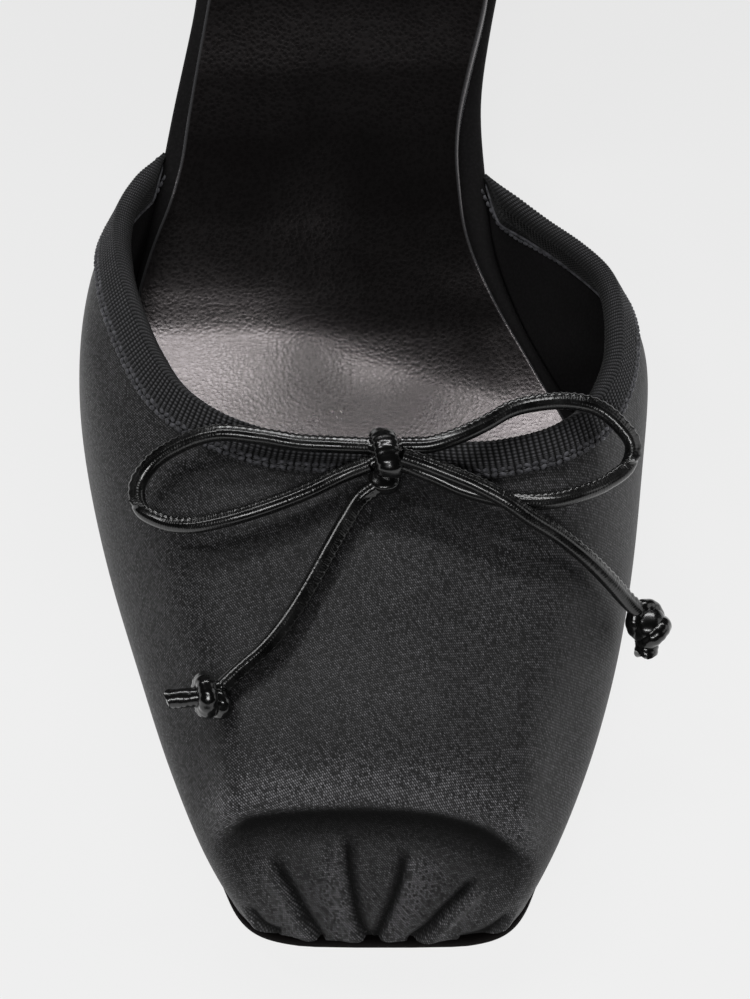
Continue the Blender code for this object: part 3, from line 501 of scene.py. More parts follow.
def crease_heights(points, normals, crease):
    """Height that a crease adds at each point, and the shade it paints into the satin's colour: 1 deep in the
    trough (painted shade), below 0 on the roll (painted highlight).

    With d the distance to the line, s the distance to its side and w the trough's width on that side, the
    trough is fade * exp(-(d / w)^2) of its depth. The roll is fade * exp(-((s - 1.5 r) / r)^2) of its height,
    r being its width. The roll's painted highlight is wider, and stronger on a wide roll."""
    shade_width, shade_share = 2.4, 0.4
    past_end, turn_width = 1.5, 0.6
    line = smooth(crease.points, np.linspace(0, 1, 41))
    start, along = line[:-1], np.diff(line, axis=0)
    share = np.clip(((points[:, None] - start) * along).sum(-1) / (along**2).sum(-1), 0, 1)
    offset = points[:, None] - (start + share[..., None] * along)
    nearest = np.linalg.norm(offset, axis=-1).argmin(1)
    row = np.arange(len(points))
    offset = offset[row, nearest]
    distance = np.linalg.norm(offset, axis=1)
    side = (np.cross(normals, unit(along)[nearest]) * offset).sum(1) * crease.side
    beyond = np.sqrt(np.maximum(distance**2 - side**2, 0))
    where = (nearest + share[row, nearest]) / len(along)
    fade = gentle(np.clip(where / crease.first, 0, 1) * np.clip((1 - where) / crease.last, 0, 1))
    across = (side - 1.5 * crease.roll_width) / crease.roll_width
    roll, crown = (
        fade * np.exp(-((across / wide) ** 2) - (beyond / past_end) ** 2) for wide in (1.0, shade_width)
    )
    turn = np.clip(0.5 + side / turn_width, 0, 1)
    wide = crease.soft + (crease.width - crease.soft) * turn
    trough = fade * np.exp(-((distance / wide) ** 2))
    # Painted highlight on the roll's side lightens the satin's colour; the trough's share is painted shade
    painted_roll_highlight = shade_share * crease.roll_width * crown * turn * (1 - trough)
    return crease.roll * roll - crease.depth * trough, trough - painted_roll_highlight


def quads(index):
    """Corner numbers [quad, 4] of a grid of vertex numbers."""
    corners = (index[:-1, :-1], index[1:, :-1], index[1:, 1:], index[:-1, 1:])
    return np.stack(corners, -1).reshape(-1, 4)


def make_piece(name, points, faces, mat, uv=None, masks=None, sharp=55.0):
    """A mesh piece from points in table millimetres and a list of face arrays [face, corner].

    uv is per point [point, 2], or a list of arrays [face, corner, 2] beside the faces. masks are numbers
    per point, kept as attributes. Faces are turned outwards, which needs closed shells."""
    points = np.asarray(points, float).reshape(-1, 3)
    corners = np.concatenate([f.ravel() for f in faces]).astype(np.int32)
    sizes = np.concatenate([np.full(len(f), f.shape[1]) for f in faces])
    mesh = bpy.data.meshes.new(name)
    mesh.vertices.add(len(points))
    mesh.vertices.foreach_set("co", placed(points).astype(np.float32).ravel())
    mesh.loops.add(len(corners))
    mesh.loops.foreach_set("vertex_index", corners)
    mesh.polygons.add(len(sizes))
    mesh.polygons.foreach_set("loop_start", (np.cumsum(sizes) - sizes).astype(np.int32))
    mesh.update(calc_edges=True)
    if uv is not None:
        flat = np.concatenate([u.reshape(-1, 2) for u in uv]) if isinstance(uv, list) else uv[corners]
        mesh.uv_layers.new(name="weave").data.foreach_set("uv", flat.astype(np.float32).ravel())
    for key, values in (masks or {}).items():
        mesh.attributes.new(key, "FLOAT", "POINT").data.foreach_set("value", values.astype(np.float32))
    bm = bmesh.new()
    bm.from_mesh(mesh)
    bmesh.ops.recalc_face_normals(bm, faces=bm.faces[:])
    bm.to_mesh(mesh)
    bm.free()
    mesh.shade_smooth()
    mesh.set_sharp_from_angle(angle=math.radians(sharp))
    mesh.materials.append(mat)
    obj = bpy.data.objects.new(name, mesh)
    bpy.context.scene.collection.objects.link(obj)
    return obj


def finish_piece(piece, slot, *nodes):
    """The piece rides on the shoe's one body and stands for its solids, which it hides. The slot is not used.
    """
    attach(piece, "root")
    if nodes:
        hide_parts(*nodes)
    return piece


def shell_faces(rows, cols, step):
    """Faces of a wall: a fine front grid, a back grid `step` times coarser, and strips that close the edges.

    A strip's face takes `step` cells of the fine edge and one of the coarse edge, so nothing gapes."""
    front = np.arange(rows * cols).reshape(rows, cols)
    behind = front[::step, ::step]
    behind = rows * cols + np.arange(behind.size).reshape(behind.shape)
    faces = [quads(front), quads(behind)]
    for edge in ((slice(None), 0), (slice(None), -1), (0, slice(None)), (-1, slice(None))):
        many, few = front[edge], behind[edge]
        window = np.arange(len(few) - 1)[:, None] * step + np.arange(step + 1)
        faces.append(np.column_stack([many[window], few[1:], few[:-1]]))
    return faces


def ring_faces(stations, corners, closed=False):
    """Faces and their unwrapped (station, corner) numbers for sections carried along a path.

    An open run gets a cap at each end."""
    index = np.arange(stations * corners).reshape(stations, corners)
    index = np.concatenate([index, index[:, :1]], 1)
    if closed:
        index = np.concatenate([index, index[:1]], 0)
    far = np.stack(np.meshgrid(*map(np.arange, index.shape), indexing="ij"), -1).reshape(-1, 2)
    flat = quads(np.arange(index.size).reshape(index.shape))
    faces, numbers = [quads(index)], [far[flat]]
    if not closed:
        for end in (0, stations - 1):
            faces.append(index[end : end + 1, :-1])
            numbers.append(np.stack([np.full(corners, end), np.arange(corners)], -1)[None])
    return faces, numbers


def unrolled(sections, closed=False, around=None, run=None):
    """Faces of closed sections [station, corner] along a path, and their UV: length along, length around."""
    stations, corners = sections.shape[:2]
    faces, numbers = ring_faces(stations, corners, closed)
    middle = sections.mean(1)
    run = run_of(middle) if run is None else run
    run = np.append(run, run[-1] + np.linalg.norm(middle[-1] - middle[0]))
    if around is None:
        width = np.linalg.norm(np.diff(sections[stations // 2], axis=0), axis=1).mean()
    else:
        width = around / corners
    return faces, [np.stack([run[n[..., 0]], n[..., 1] * width], -1) for n in numbers]


def tube_piece(name, sections, around, mat, run=None, sharp=55.0):
    """A piece through one run of sections that measure `around` millimetres round."""
    faces, uv = unrolled(sections, around=around, run=run)
    return make_piece(name, sections, faces, mat, uv, sharp=sharp)


def joined(name, shells, mat, weave=1.0):
    """One piece from several runs of (sections, closed), its UV scaled by `weave`."""
    points, faces, uv, first = [], [], [], 0
    for sections, closed in shells:
        found, places = unrolled(sections, closed)
        points.append(sections.reshape(-1, 3))
        faces += [face + first for face in found]
        uv += [place * weave for place in places]
        first += len(points[-1])
    return make_piece(name, np.concatenate(points), faces, mat, uv)


def carried(path, aim, radius, corners, closed=False, flat=(1.0, 1.0)):
    """Sections [station, corner] of a profile carried along a path [station, 3].

    A corner at angle a lies radius(a, run) from the path, turned from the `aim` direction towards the
    side; `flat` scales the section along the aim and along the side."""
    if closed:
        along = unit(np.roll(path, -1, 0) - np.roll(path, 1, 0))
    else:
        along = unit(np.gradient(path, axis=0))
    aim = np.broadcast_to(np.asarray(aim, float), path.shape)
    aim = unit(aim - along * (aim * along).sum(1, keepdims=True))
    side = np.cross(along, aim)
    angle = circle(corners)
    reach = radius(angle[None], run_of(path)[:, None])[..., None]
    to_aim, to_side = np.cos(angle)[:, None] * flat[0], np.sin(angle)[:, None] * flat[1]
    return path[:, None] + reach * (to_aim * aim[:, None] + to_side * side[:, None])


def feed(tree, made, inputs):
    """Links sockets to a node's inputs and sets plain values on the others, by number or by name."""
    for key, value in inputs.items() if isinstance(inputs, dict) else enumerate(inputs):
        if isinstance(value, bpy.types.NodeSocket):
            tree.links.new(value, made.inputs[key])
        else:
            made.inputs[key].default_value = value


def node(tree, kind, inputs=(), **settings):
    """A shader node with its settings and inputs."""
    made = tree.nodes.new("ShaderNode" + kind)
    for key, value in settings.items():
        setattr(made, key, value)
    feed(tree, made, inputs)
    return made


def calc(tree, operation, *values):
    """A sum of one Math node."""
    return node(tree, "Math", values, operation=operation).outputs[0]


def wave(tree, operation, turns, swing=0.5):
    """Sine or cosine of a number of turns, with the given swing about its middle and 1 at its top."""
    angle = calc(tree, "MULTIPLY", turns, 2 * math.pi)
    return calc(tree, "MULTIPLY_ADD", calc(tree, operation, angle), swing, 1 - abs(swing))


def mixed(tree, factor, first, second):
    """Colour between two colours, each a socket or red, green, blue and alpha."""
    return node(tree, "Mix", {0: factor, 6: first, 7: second}, data_type="RGBA").outputs[2]


def toned(tree, mask, colour, low, high):
    """A colour scaled from `low` to `high` by a mask from 0 to 1."""
    ends = [(*(min(1.0, c * share) for c in colour), 1.0) for share in (low, high)]
    return mixed(tree, mask, *ends)


def ranged(tree, value, low, high, first=0.0, last=1.0, **settings):
    """A value between `first` and `last` as one between low and high."""
    return node(tree, "MapRange", {0: value, 1: first, 2: last, 3: low, 4: high}, **settings).outputs[0]


def noise(tree, place, scale, detail):
    """Outputs of a noise texture: value and colour."""
    return node(tree, "TexNoise", {"Vector": place, "Scale": scale, "Detail": detail}).outputs


def bumped(tree, height, distance):
    """Normal from a height of 0 to 1 over `distance` metres."""
    return node(tree, "Bump", {"Strength": 1.0, "Distance": distance, "Height": height}).outputs[0]


def wire(tree, sockets, **values):
    """Links values to the sockets of their names."""
    for key, value in values.items():
        tree.links.new(value, sockets[key.replace("_", " ")])


def shared(name, make):
    """A node group or material that is built once."""
    found = bpy.data.node_groups.get(name) or bpy.data.materials.get(name)
    return found or make()


def new_group(name, number, *outputs):
    """An empty shader node group with a Vector and a number as inputs: its tree, inputs and outputs."""
    tree = bpy.data.node_groups.new(name, "ShaderNodeTree")
    for label, kind in (("Vector", "Vector"), (number, "Float")):
        tree.interface.new_socket(label, in_out="INPUT", socket_type="NodeSocket" + kind)
    for label in outputs:
        tree.interface.new_socket(label, in_out="OUTPUT", socket_type="NodeSocketFloat")
    return tree, tree.nodes.new("NodeGroupInput").outputs, tree.nodes.new("NodeGroupOutput").inputs


def use_group(tree, name, make, **inputs):
    """Outputs of a node group that is built at its first use."""
    return node(tree, "Group", inputs, node_tree=shared(name, make)).outputs


def twill_group():
    """Satin weave on a UV map in millimetres: rows of short slanted floats, `Pitch` apart.

    Each float is as bright as chance makes it, a tone that also stands in for its glint, and a few are bright
    flecks of painted glint."""
    tree, given, result = new_group("satin_twill", "Pitch", "Height", "Tone")
    float_length, row_shift, row_drift = 1.45, 0.37, 0.4
    lean, rise = math.cos(TWILL_SLANT), math.sin(TWILL_SLANT)
    axis = node(tree, "SeparateXYZ", (given["Vector"],)).outputs
    across = calc(tree, "MULTIPLY_ADD", axis[0], lean, calc(tree, "MULTIPLY", axis[1], rise))
    along = calc(tree, "MULTIPLY_ADD", axis[0], -rise, calc(tree, "MULTIPLY", axis[1], lean))
    drift = noise(tree, given["Vector"], 0.6, 2.0)[0]
    row = calc(tree, "MULTIPLY_ADD", drift, row_drift, calc(tree, "DIVIDE", across, given["Pitch"]))
    number = calc(tree, "FLOOR", row)
    step = calc(tree, "DIVIDE", along, calc(tree, "MULTIPLY", given["Pitch"], float_length))
    step = calc(tree, "MULTIPLY_ADD", number, row_shift, step)
    place = node(tree, "CombineXYZ", (number, calc(tree, "FLOOR", step), 0.0)).outputs[0]
    chance = node(tree, "TexWhiteNoise", (place,), noise_dimensions="2D").outputs["Value"]
    strand = calc(tree, "MULTIPLY", wave(tree, "COSINE", row, -0.5), wave(tree, "COSINE", step, -0.4))
    # Painted glint: a few floats get a far lighter colour
    painted_glint = ranged(tree, chance, 0.0, 0.4, 0.985, 1.0)
    bright = calc(tree, "ADD", calc(tree, "MULTIPLY_ADD", chance, 0.58, 0.02), painted_glint)
    height = calc(tree, "MULTIPLY", strand, calc(tree, "MULTIPLY_ADD", chance, 0.7, 0.3))
    wire(tree, result, Height=height, Tone=calc(tree, "MULTIPLY", strand, bright))
    return tree


def grain_group():
    """Leather grain on Object coordinates: rounded pebbles `Size` millimetres across, with fine pores."""
    tree, given, result = new_group("leather_grain", "Size", "Height", "Tone")
    share = calc(tree, "DIVIDE", 1 / MM, given["Size"])
    place = node(tree, "VectorMath", {0: given["Vector"], 3: share}, operation="SCALE").outputs[0]
    bend = noise(tree, place, 0.9, 2.0)[1]
    bend = node(tree, "VectorMath", {0: bend, 3: 0.55}, operation="SCALE").outputs[0]
    place = node(tree, "VectorMath", (place, bend), operation="ADD").outputs[0]
    cells = {"Vector": place, "Scale": 1.0, "Smoothness": 0.35}
    cell = node(tree, "TexVoronoi", cells, feature="SMOOTH_F1").outputs[0]
    pebble = ranged(tree, cell, 0.0, 1.0, 0.75, 0.1, interpolation_type="SMOOTHSTEP")
    pore = noise(tree, place, 4.0, 3.0)[0]
    height = calc(tree, "ADD", calc(tree, "MULTIPLY", pebble, 0.8), calc(tree, "MULTIPLY", pore, 0.2))
    wire(tree, result, Height=height, Tone=calc(tree, "MULTIPLY", pebble, pore))
    return tree


def handling_group():
    """Broad uneven patches on Object coordinates, as soft wear and handling leave them."""
    tree, given, result = new_group("soft_handling", "Scale", "Mask")
    broad = noise(tree, given["Vector"], given["Scale"], 4.0)[0]
    wire(tree, result, Mask=ranged(tree, broad, 0.0, 1.0, 0.3, 0.7, interpolation_type="SMOOTHSTEP"))
    return tree


def thread_group():
    """Weft threads on a UV map in millimetres: short bars `Pitch` apart across each rib of a tape."""
    tree, given, result = new_group("weft_threads", "Pitch", "Height", "Tone")
    axis = node(tree, "SeparateXYZ", (given["Vector"],)).outputs
    turns = calc(tree, "MULTIPLY", calc(tree, "DIVIDE", axis[1], given["Pitch"]), 2 * math.pi)
    fuzz = noise(tree, given["Vector"], 3.0, 3.0)[0]
    bar = calc(tree, "SINE", calc(tree, "MULTIPLY_ADD", fuzz, 2.5, turns))
    bar = calc(tree, "MULTIPLY_ADD", bar, 0.5, 0.5)
    height = calc(tree, "MULTIPLY_ADD", bar, 0.7, calc(tree, "MULTIPLY", fuzz, 0.3))
    wire(tree, result, Height=height, Tone=calc(tree, "MULTIPLY", bar, fuzz))
    return tree


def wrinkle_group():
    """Fine cross wrinkles of a rolled leather cord on its UV map: crowded ridges that drift along it."""
    tree, given, result = new_group("cord_wrinkles", "Pitch", "Height", "Tone")
    axis = node(tree, "SeparateXYZ", (given["Vector"],)).outputs
    drift = calc(tree, "MULTIPLY", noise(tree, given["Vector"], 0.55, 3.0)[0], 3.0)
    ridge = wave(tree, "SINE", calc(tree, "ADD", calc(tree, "DIVIDE", axis[0], given["Pitch"]), drift))
    patch = ranged(tree, noise(tree, given["Vector"], 0.22, 2.0)[0], 0.0, 1.0, 0.35, 0.65)
    height = calc(tree, "MULTIPLY", ridge, calc(tree, "MULTIPLY_ADD", patch, 0.75, 0.25))
    wire(tree, result, Height=height, Tone=patch)
    return tree


def new_material(name, **constants):
    """A node material, its tree and its Principled shader with constant values set on its own sockets."""
    mat = bpy.data.materials.new(name)
    mat.use_nodes = True
    shader = mat.node_tree.nodes["Principled BSDF"]
    for key, value in constants.items():
        shader.inputs[key.replace("_", " ")].default_value = value
    return mat, mat.node_tree, shader.inputs


def weave_map(tree):
    """The piece's own UV map in millimetres."""
    return node(tree, "UVMap", uv_map="weave").outputs[0]


def object_map(tree):
    """Object coordinates in metres."""
    return node(tree, "TexCoord").outputs["Object"]


def point_mask(tree, name):
    """A piece's attribute."""
    return node(tree, "Attribute", attribute_name=name).outputs["Fac"]


def satin_material():
    """Satin: floats of random tone and painted glint on black; its fold attribute paints shade into folds,
    highlight onto rolls.
    """
    sizes, colours = bpy.context.scene.pump_sizes, bpy.context.scene.pump_colours
    mat, tree, shader = new_material(
        "black_satin", Specular_IOR_Level=0.5, Sheen_Weight=0.05, Sheen_Roughness=0.35
    )
    pitch = sizes.twill_pitch / MM
    twill = use_group(tree, "satin_twill", twill_group, Vector=weave_map(tree), Pitch=pitch)
    soft = use_group(tree, "soft_handling", handling_group, Vector=object_map(tree), Scale=55.0)
    fold = point_mask(tree, "fold")
    # Painted shade: sunk darkens the satin's colour in crease troughs; painted highlight: raised lightens it
    # on rolls
    sunk = calc(tree, "MAXIMUM", fold, 0.0)
    raised = calc(tree, "MAXIMUM", calc(tree, "MULTIPLY", fold, -1.0), 0.0)
    flat = calc(tree, "MULTIPLY_ADD", sunk, -0.97, calc(tree, "MULTIPLY_ADD", raised, 2.2, 1.0))
    tone = calc(tree, "MULTIPLY", twill["Tone"], calc(tree, "MULTIPLY_ADD", soft["Mask"], 0.3, 0.85))
    colour = toned(tree, calc(tree, "MULTIPLY", tone, flat), colours.satin, 0.02, 8.5)
    rough = calc(tree, "MULTIPLY_ADD", sunk, 0.4, ranged(tree, twill["Height"], 0.58, 0.46))
    wire(tree, shader, Base_Color=colour, Roughness=rough, Normal=bumped(tree, twill["Height"], 0.000045))
    return mat


def grosgrain_material():
    """Ribbed tape on its UV map in millimetres: grooves between the ribs darkened as painted shade, fine weft
    bars across them.

    Past its turn over the rim, on the inner face, its colour is darkened as painted shade inside the shoe,
    and it is rougher."""
    sizes, colours = bpy.context.scene.pump_sizes, bpy.context.scene.pump_colours
    mat, tree, shader = new_material(
        "black_grosgrain", Specular_IOR_Level=0.25, Sheen_Weight=0.08, Sheen_Roughness=0.4
    )
    place = weave_map(tree)
    weft = use_group(tree, "weft_threads", thread_group, Vector=place, Pitch=0.45)
    axis = node(tree, "SeparateXYZ", (place,)).outputs
    # Painted shade: the colour goes dark in the grooves between the ribs
    crest = wave(tree, "COSINE", calc(tree, "MULTIPLY", axis[0], MM / sizes.rib_pitch))
    tone = calc(tree, "MULTIPLY", crest, calc(tree, "MULTIPLY_ADD", weft["Tone"], 1.7, 0.15))
    # Painted shade inside the shoe: past TAPE_TURN the inner face's colour falls to 0.15
    tone = calc(tree, "MULTIPLY", tone, ranged(tree, axis[1], 1.0, 0.15, TAPE_TURN, TAPE_TURN + 2.0))
    wire(
        tree, shader, Base_Color=toned(tree, tone, colours.grosgrain, 0.08, 2.8),
        Roughness=ranged(tree, tone, 0.85, 0.6), Normal=bumped(tree, weft["Height"], 0.00009),
    )
    return mat


def leather_material(name, colour, grain, rough, bump, edge=None, gloss=0.5, tint=(1.0, 1.0, 1.0)):
    """Leather with pebbles of `grain` millimetres; `edge` is its cut edge's colour, by the edge attribute."""
    mat, tree, shader = new_material(name, Specular_IOR_Level=gloss, Specular_Tint=(*tint, 1.0))
    place = object_map(tree)
    pebble = use_group(tree, "leather_grain", grain_group, Vector=place, Size=grain)
    soft = use_group(tree, "soft_handling", handling_group, Vector=place, Scale=38.0)
    tone = calc(tree, "MULTIPLY_ADD", pebble["Tone"], 0.6, calc(tree, "MULTIPLY", soft["Mask"], 0.4))
    paint = toned(tree, tone, colour, 0.6, 1.5)
    if edge is not None:
        paint = mixed(tree, point_mask(tree, "edge"), paint, (*edge, 1.0))
    wire(
        tree, shader, Base_Color=paint, Roughness=ranged(tree, tone, rough + 0.08, rough - 0.08),
        Normal=bumped(tree, pebble["Height"], bump),
    )
    return mat


def sock_material():
    """Glossy fine leather of the sock, its reflections a little warm."""
    sizes, colours = bpy.context.scene.pump_sizes, bpy.context.scene.pump_colours
    return leather_material(
        "black_sock_leather", colours.sock, sizes.grain_size / MM, rough=0.2, bump=0.000012,
        edge=colours.sock_edge, gloss=0.85, tint=(1.0, 0.91, 0.92),
    )


def lining_material():
    """Dull leather of lining and insole cover."""
    colour = bpy.context.scene.pump_colours.lining
    return leather_material("black_lining_leather", colour, 0.5, rough=0.8, bump=0.00002, gloss=0.2)


def sole_material():
    """Sole leather with a dyed edge."""
    colours = bpy.context.scene.pump_colours
    return leather_material(
        "dark_sole_leather", colours.sole, 0.8, rough=0.7, bump=0.00003, edge=colours.sole_edge, gloss=0.03
    )


def rubber_material():
    """Dull rubber of the top piece."""
    colour = bpy.context.scene.pump_colours.rubber
    return leather_material("black_rubber", colour, 0.45, rough=0.72, bump=0.00002)


def cord_material():
    """Polished leather of the bow's cord: cross wrinkles over a fine grain, under a thin coat."""
    mat, tree, shader = new_material(
        "glossy_cord_leather", Specular_IOR_Level=0.45, Coat_Roughness=0.13, Coat_Weight=0.6
    )
    crease = use_group(tree, "cord_wrinkles", wrinkle_group, Vector=weave_map(tree), Pitch=0.42)
    pebble = use_group(tree, "leather_grain", grain_group, Vector=object_map(tree), Size=0.35)
    height = calc(tree, "MULTIPLY_ADD", crease["Height"], 0.9, calc(tree, "MULTIPLY", pebble["Height"], 0.1))
    wire(
        tree, shader, Base_Color=toned(tree, crease["Tone"], bpy.context.scene.pump_colours.cord, 0.6, 1.6),
        Roughness=ranged(tree, crease["Tone"], 0.22, 0.34), Normal=bumped(tree, height, 0.000032),
    )
    return mat


def thread_material():
    """Soft matt sewing thread; its grey is partly its own colour and partly a painted highlight."""
    mat, tree, shader = new_material("black_thread", Specular_IOR_Level=0.4, Sheen_Weight=0.1)
    soft = use_group(tree, "soft_handling", handling_group, Vector=object_map(tree), Scale=900.0)["Mask"]
    wire(
        tree, shader, Base_Color=toned(tree, soft, bpy.context.scene.pump_colours.thread, 0.5, 1.6),
        Roughness=ranged(tree, soft, 0.62, 0.42), Normal=bumped(tree, soft, 0.00004),
    )
    return mat


def floor_material():
    """Pale light table: most of its brightness is its own, more before the toe, so shadows stay faint."""
    lights, colour = bpy.context.scene.pump_lights, bpy.context.scene.pump_colours.floor
    mat, tree, shader = new_material(
        "pale_floor", Specular_IOR_Level=0.0, Roughness=0.9, Emission_Strength=lights.floor
    )
    place = object_map(tree)
    soft = use_group(tree, "soft_handling", handling_group, Vector=place, Scale=3.0)["Mask"]
    front = ranged(tree, node(tree, "SeparateXYZ", (place,)).outputs[1], 0.0, 1.0, 0.1, -0.04)
    wire(
        tree, shader, Base_Color=toned(tree, soft, colour, 0.99, 1.01),
        Emission_Color=toned(tree, front, (1.0, 1.0, 1.0), 0.93, 1.0),
    )
    return mat


def cord_radius(angle, run):
    """Radius of the rolled cord: a tube with a crimped, stitched seam lip at angle 0 and cross wrinkles."""
    tube, lip_height, groove, wrinkled = 1.16, 0.16, 0.1, 0.015
    turn = (angle + math.pi) % (2 * math.pi) - math.pi
    lip = np.exp(-((turn / 0.3) ** 2))
    beside = np.exp(-(((np.abs(turn) - 0.7) / 0.25) ** 2))
    crimp = 0.5 + 0.5 * np.cos(2 * math.pi * run / SEAM_STITCH)
    wander = run + 0.5 * np.sin(run * 0.9) + 0.3 * np.sin(run * 2.3 + 1.0)
    wrinkle = np.sin(2 * math.pi * wander / 0.95 + 0.6 * np.sin(turn))
    wrinkle = wrinkle * (0.5 + 0.5 * np.sin(run * 0.37 + turn))
    return tube + lip_height * lip * (1 + crimp) - groove * beside + wrinkled * wrinkle


def plain_cord_radius(angle, run):
    """Radius of a short or tightly turned bit of cord: round, with shallow wrinkles."""
    wrinkle = np.sin(2 * math.pi * run / 0.9 + 0.8 * np.sin(angle)) + np.sin(run * 2.1 + 3 * angle)
    return 1.0 + 0.02 * wrinkle


def bow_cord(name, route, lip):
    """A cord of the bow: its profile carried along a smooth curve through the route, its seam towards `lip`.

    Returns the piece, its length and its centreline in metres."""
    points = tabled(route)
    path = smooth(points, np.linspace(0, 1, round(run_of(points)[-1] / CORD_STEP)))
    sections = carried(path, lip, cord_radius, 28)
    leather = shared("glossy_cord_leather", cord_material)
    piece = tube_piece(name, sections, math.pi * CORD_DIAMETER / MM, leather)
    return piece, run_of(path)[-1] * MM, placed(path)


def lump_rings(centre, radii, folds=0.0, count=9, squareness=0.85, stations=40, corners=48):
    """Rings of a closed rounded body from pole to pole along x: an ellipsoid with squared shoulders.

    Folds ripple it round the x axis. The poles are small rings, closed by caps."""
    rise = np.linspace(0.02, math.pi - 0.02, stations)[:, None]
    angle = circle(corners)[None]
    reach = np.sin(rise)
    ripple = 1 + folds * reach * np.cos(count * angle + 0.7 * np.cos(rise * 2))
    shape = np.broadcast_arrays(-np.cos(rise), reach * np.cos(angle), reach * np.sin(angle))
    shape = np.stack(shape, -1)
    shape = np.sign(shape) * np.abs(shape) ** squareness
    shape[..., 1:] *= ripple[..., None]
    return shape * np.array(radii) + np.array(centre)


def wrap_rings(centre, half_back, half_z, width, thick, lean, stations=160, corners=28):
    """A band of cord wound once round the knot: an oval ring in the back-z plane that leans by `lean`."""
    angle = circle(stations)
    oval = (-lean * np.cos(angle), half_back * np.cos(angle), half_z * np.sin(angle))
    path = np.stack(oval, -1) + np.array(centre)
    return carried(path, (1.0, 0.0, 0.0), plain_cord_radius, corners, closed=True, flat=(width, thick))


def ring_rings(centre, ring, stations=120, corners=26):
    """A turn of a tightened knot: a ring of cord round its axis."""
    axis = unit(np.array(ring.axis, float))
    first = unit(np.cross(axis, (0.0, 0.6, 0.8)))
    angle = circle(stations)[:, None]
    turn = np.cos(angle) * first + np.sin(angle) * np.cross(axis, first)
    path = turn * ring.reach + np.array(centre) + np.array(ring.offset)
    return carried(path, axis, plain_cord_radius, corners, closed=True, flat=(ring.thick, ring.thick))


def stub_rings(start, end, thick=1.1, corners=22):
    """The cord's cut end: a short tube, cut ragged, whose end face is sunk a little."""
    ragged_depth, hollow, sunk = 0.22, 0.62, 0.5
    share = np.linspace(0, 1, 24)[:, None]
    angle = circle(corners)
    path = np.array(start) * (1 - share) + np.array(end) * share
    along = unit(path[-1] - path[0])
    sections = carried(path, (0.0, 0.3, 1.0), plain_cord_radius, corners, flat=(thick, thick))
    ragged = share**4 * (np.cos(2 * angle + 1.0) + 0.6 * np.cos(3 * angle))
    sections += ragged_depth * thick * ragged[..., None] * along
    inner = path[-1] + (sections[-1] - path[-1]) * hollow
    return np.concatenate([sections, inner[None], (inner - along * sunk)[None]])


def knot_piece(name, shells, centre, roots):
    """A knot from its shells, with a short bit of cord from its centre to each cord's end, its root."""
    shells = shells + [(stub_rings(centre, tabled(root)), False) for root in roots]
    leather = shared("glossy_cord_leather", cord_material)
    return finish_piece(joined(name + "_leather", shells, leather, 0.2), "cord_leather", name)


def thinning(run):
    """Share of the wall's thickness along its run: full, but thinned to a fifth at both ends."""
    return 0.2 + 0.8 * gentle(np.minimum(run, run[-1] - run) / THIN_RUN)


def vamp_uv(grid):
    """Cloth coordinates of the vamp in millimetres: x let down over the sides, back let down over the toe."""
    toe_middle, toe_back, toe_top = 1.5, 15.0, 23.5
    x, back, z = grid.reshape(-1, 3).T
    x = x - toe_middle
    below = np.interp(back, (0.0, 13.0, 67.0), (4.0, 17.5, 33.0)) - z
    drop = (below + np.sqrt(below**2 + 36.0)) / 2 * np.tanh((x / 14.0) ** 2)
    front = np.clip((toe_back - back) / 5.0, 0, 1) * np.maximum(toe_top - z, 0)
    return np.stack([x + np.sign(x) * drop, back - 0.6 * front], -1)


def run_uv(grid):
    """Cloth coordinates of a wall in millimetres: length along its middle row, and up each rib."""
    along = run_of(grid[:, grid.shape[1] // 2])[:, None]
    return np.stack(np.broadcast_arrays(along, run_of(grid)), -1).reshape(-1, 2)


def averaged(grid, passes):
    """A grid with each inner point drawn to its neighbours; its four edges stay."""
    grid = grid.copy()
    for _ in range(passes):
        beside = grid[:-2, 1:-1] + grid[2:, 1:-1] + grid[1:-1, :-2] + grid[1:-1, 2:]
        grid[1:-1, 1:-1] = 0.5 * grid[1:-1, 1:-1] + 0.125 * beside
    return grid


def coarsened(grid):
    """Points of a grid, every few rows and columns."""
    return grid[::COARSE, ::COARSE].reshape(-1, grid.shape[-1])


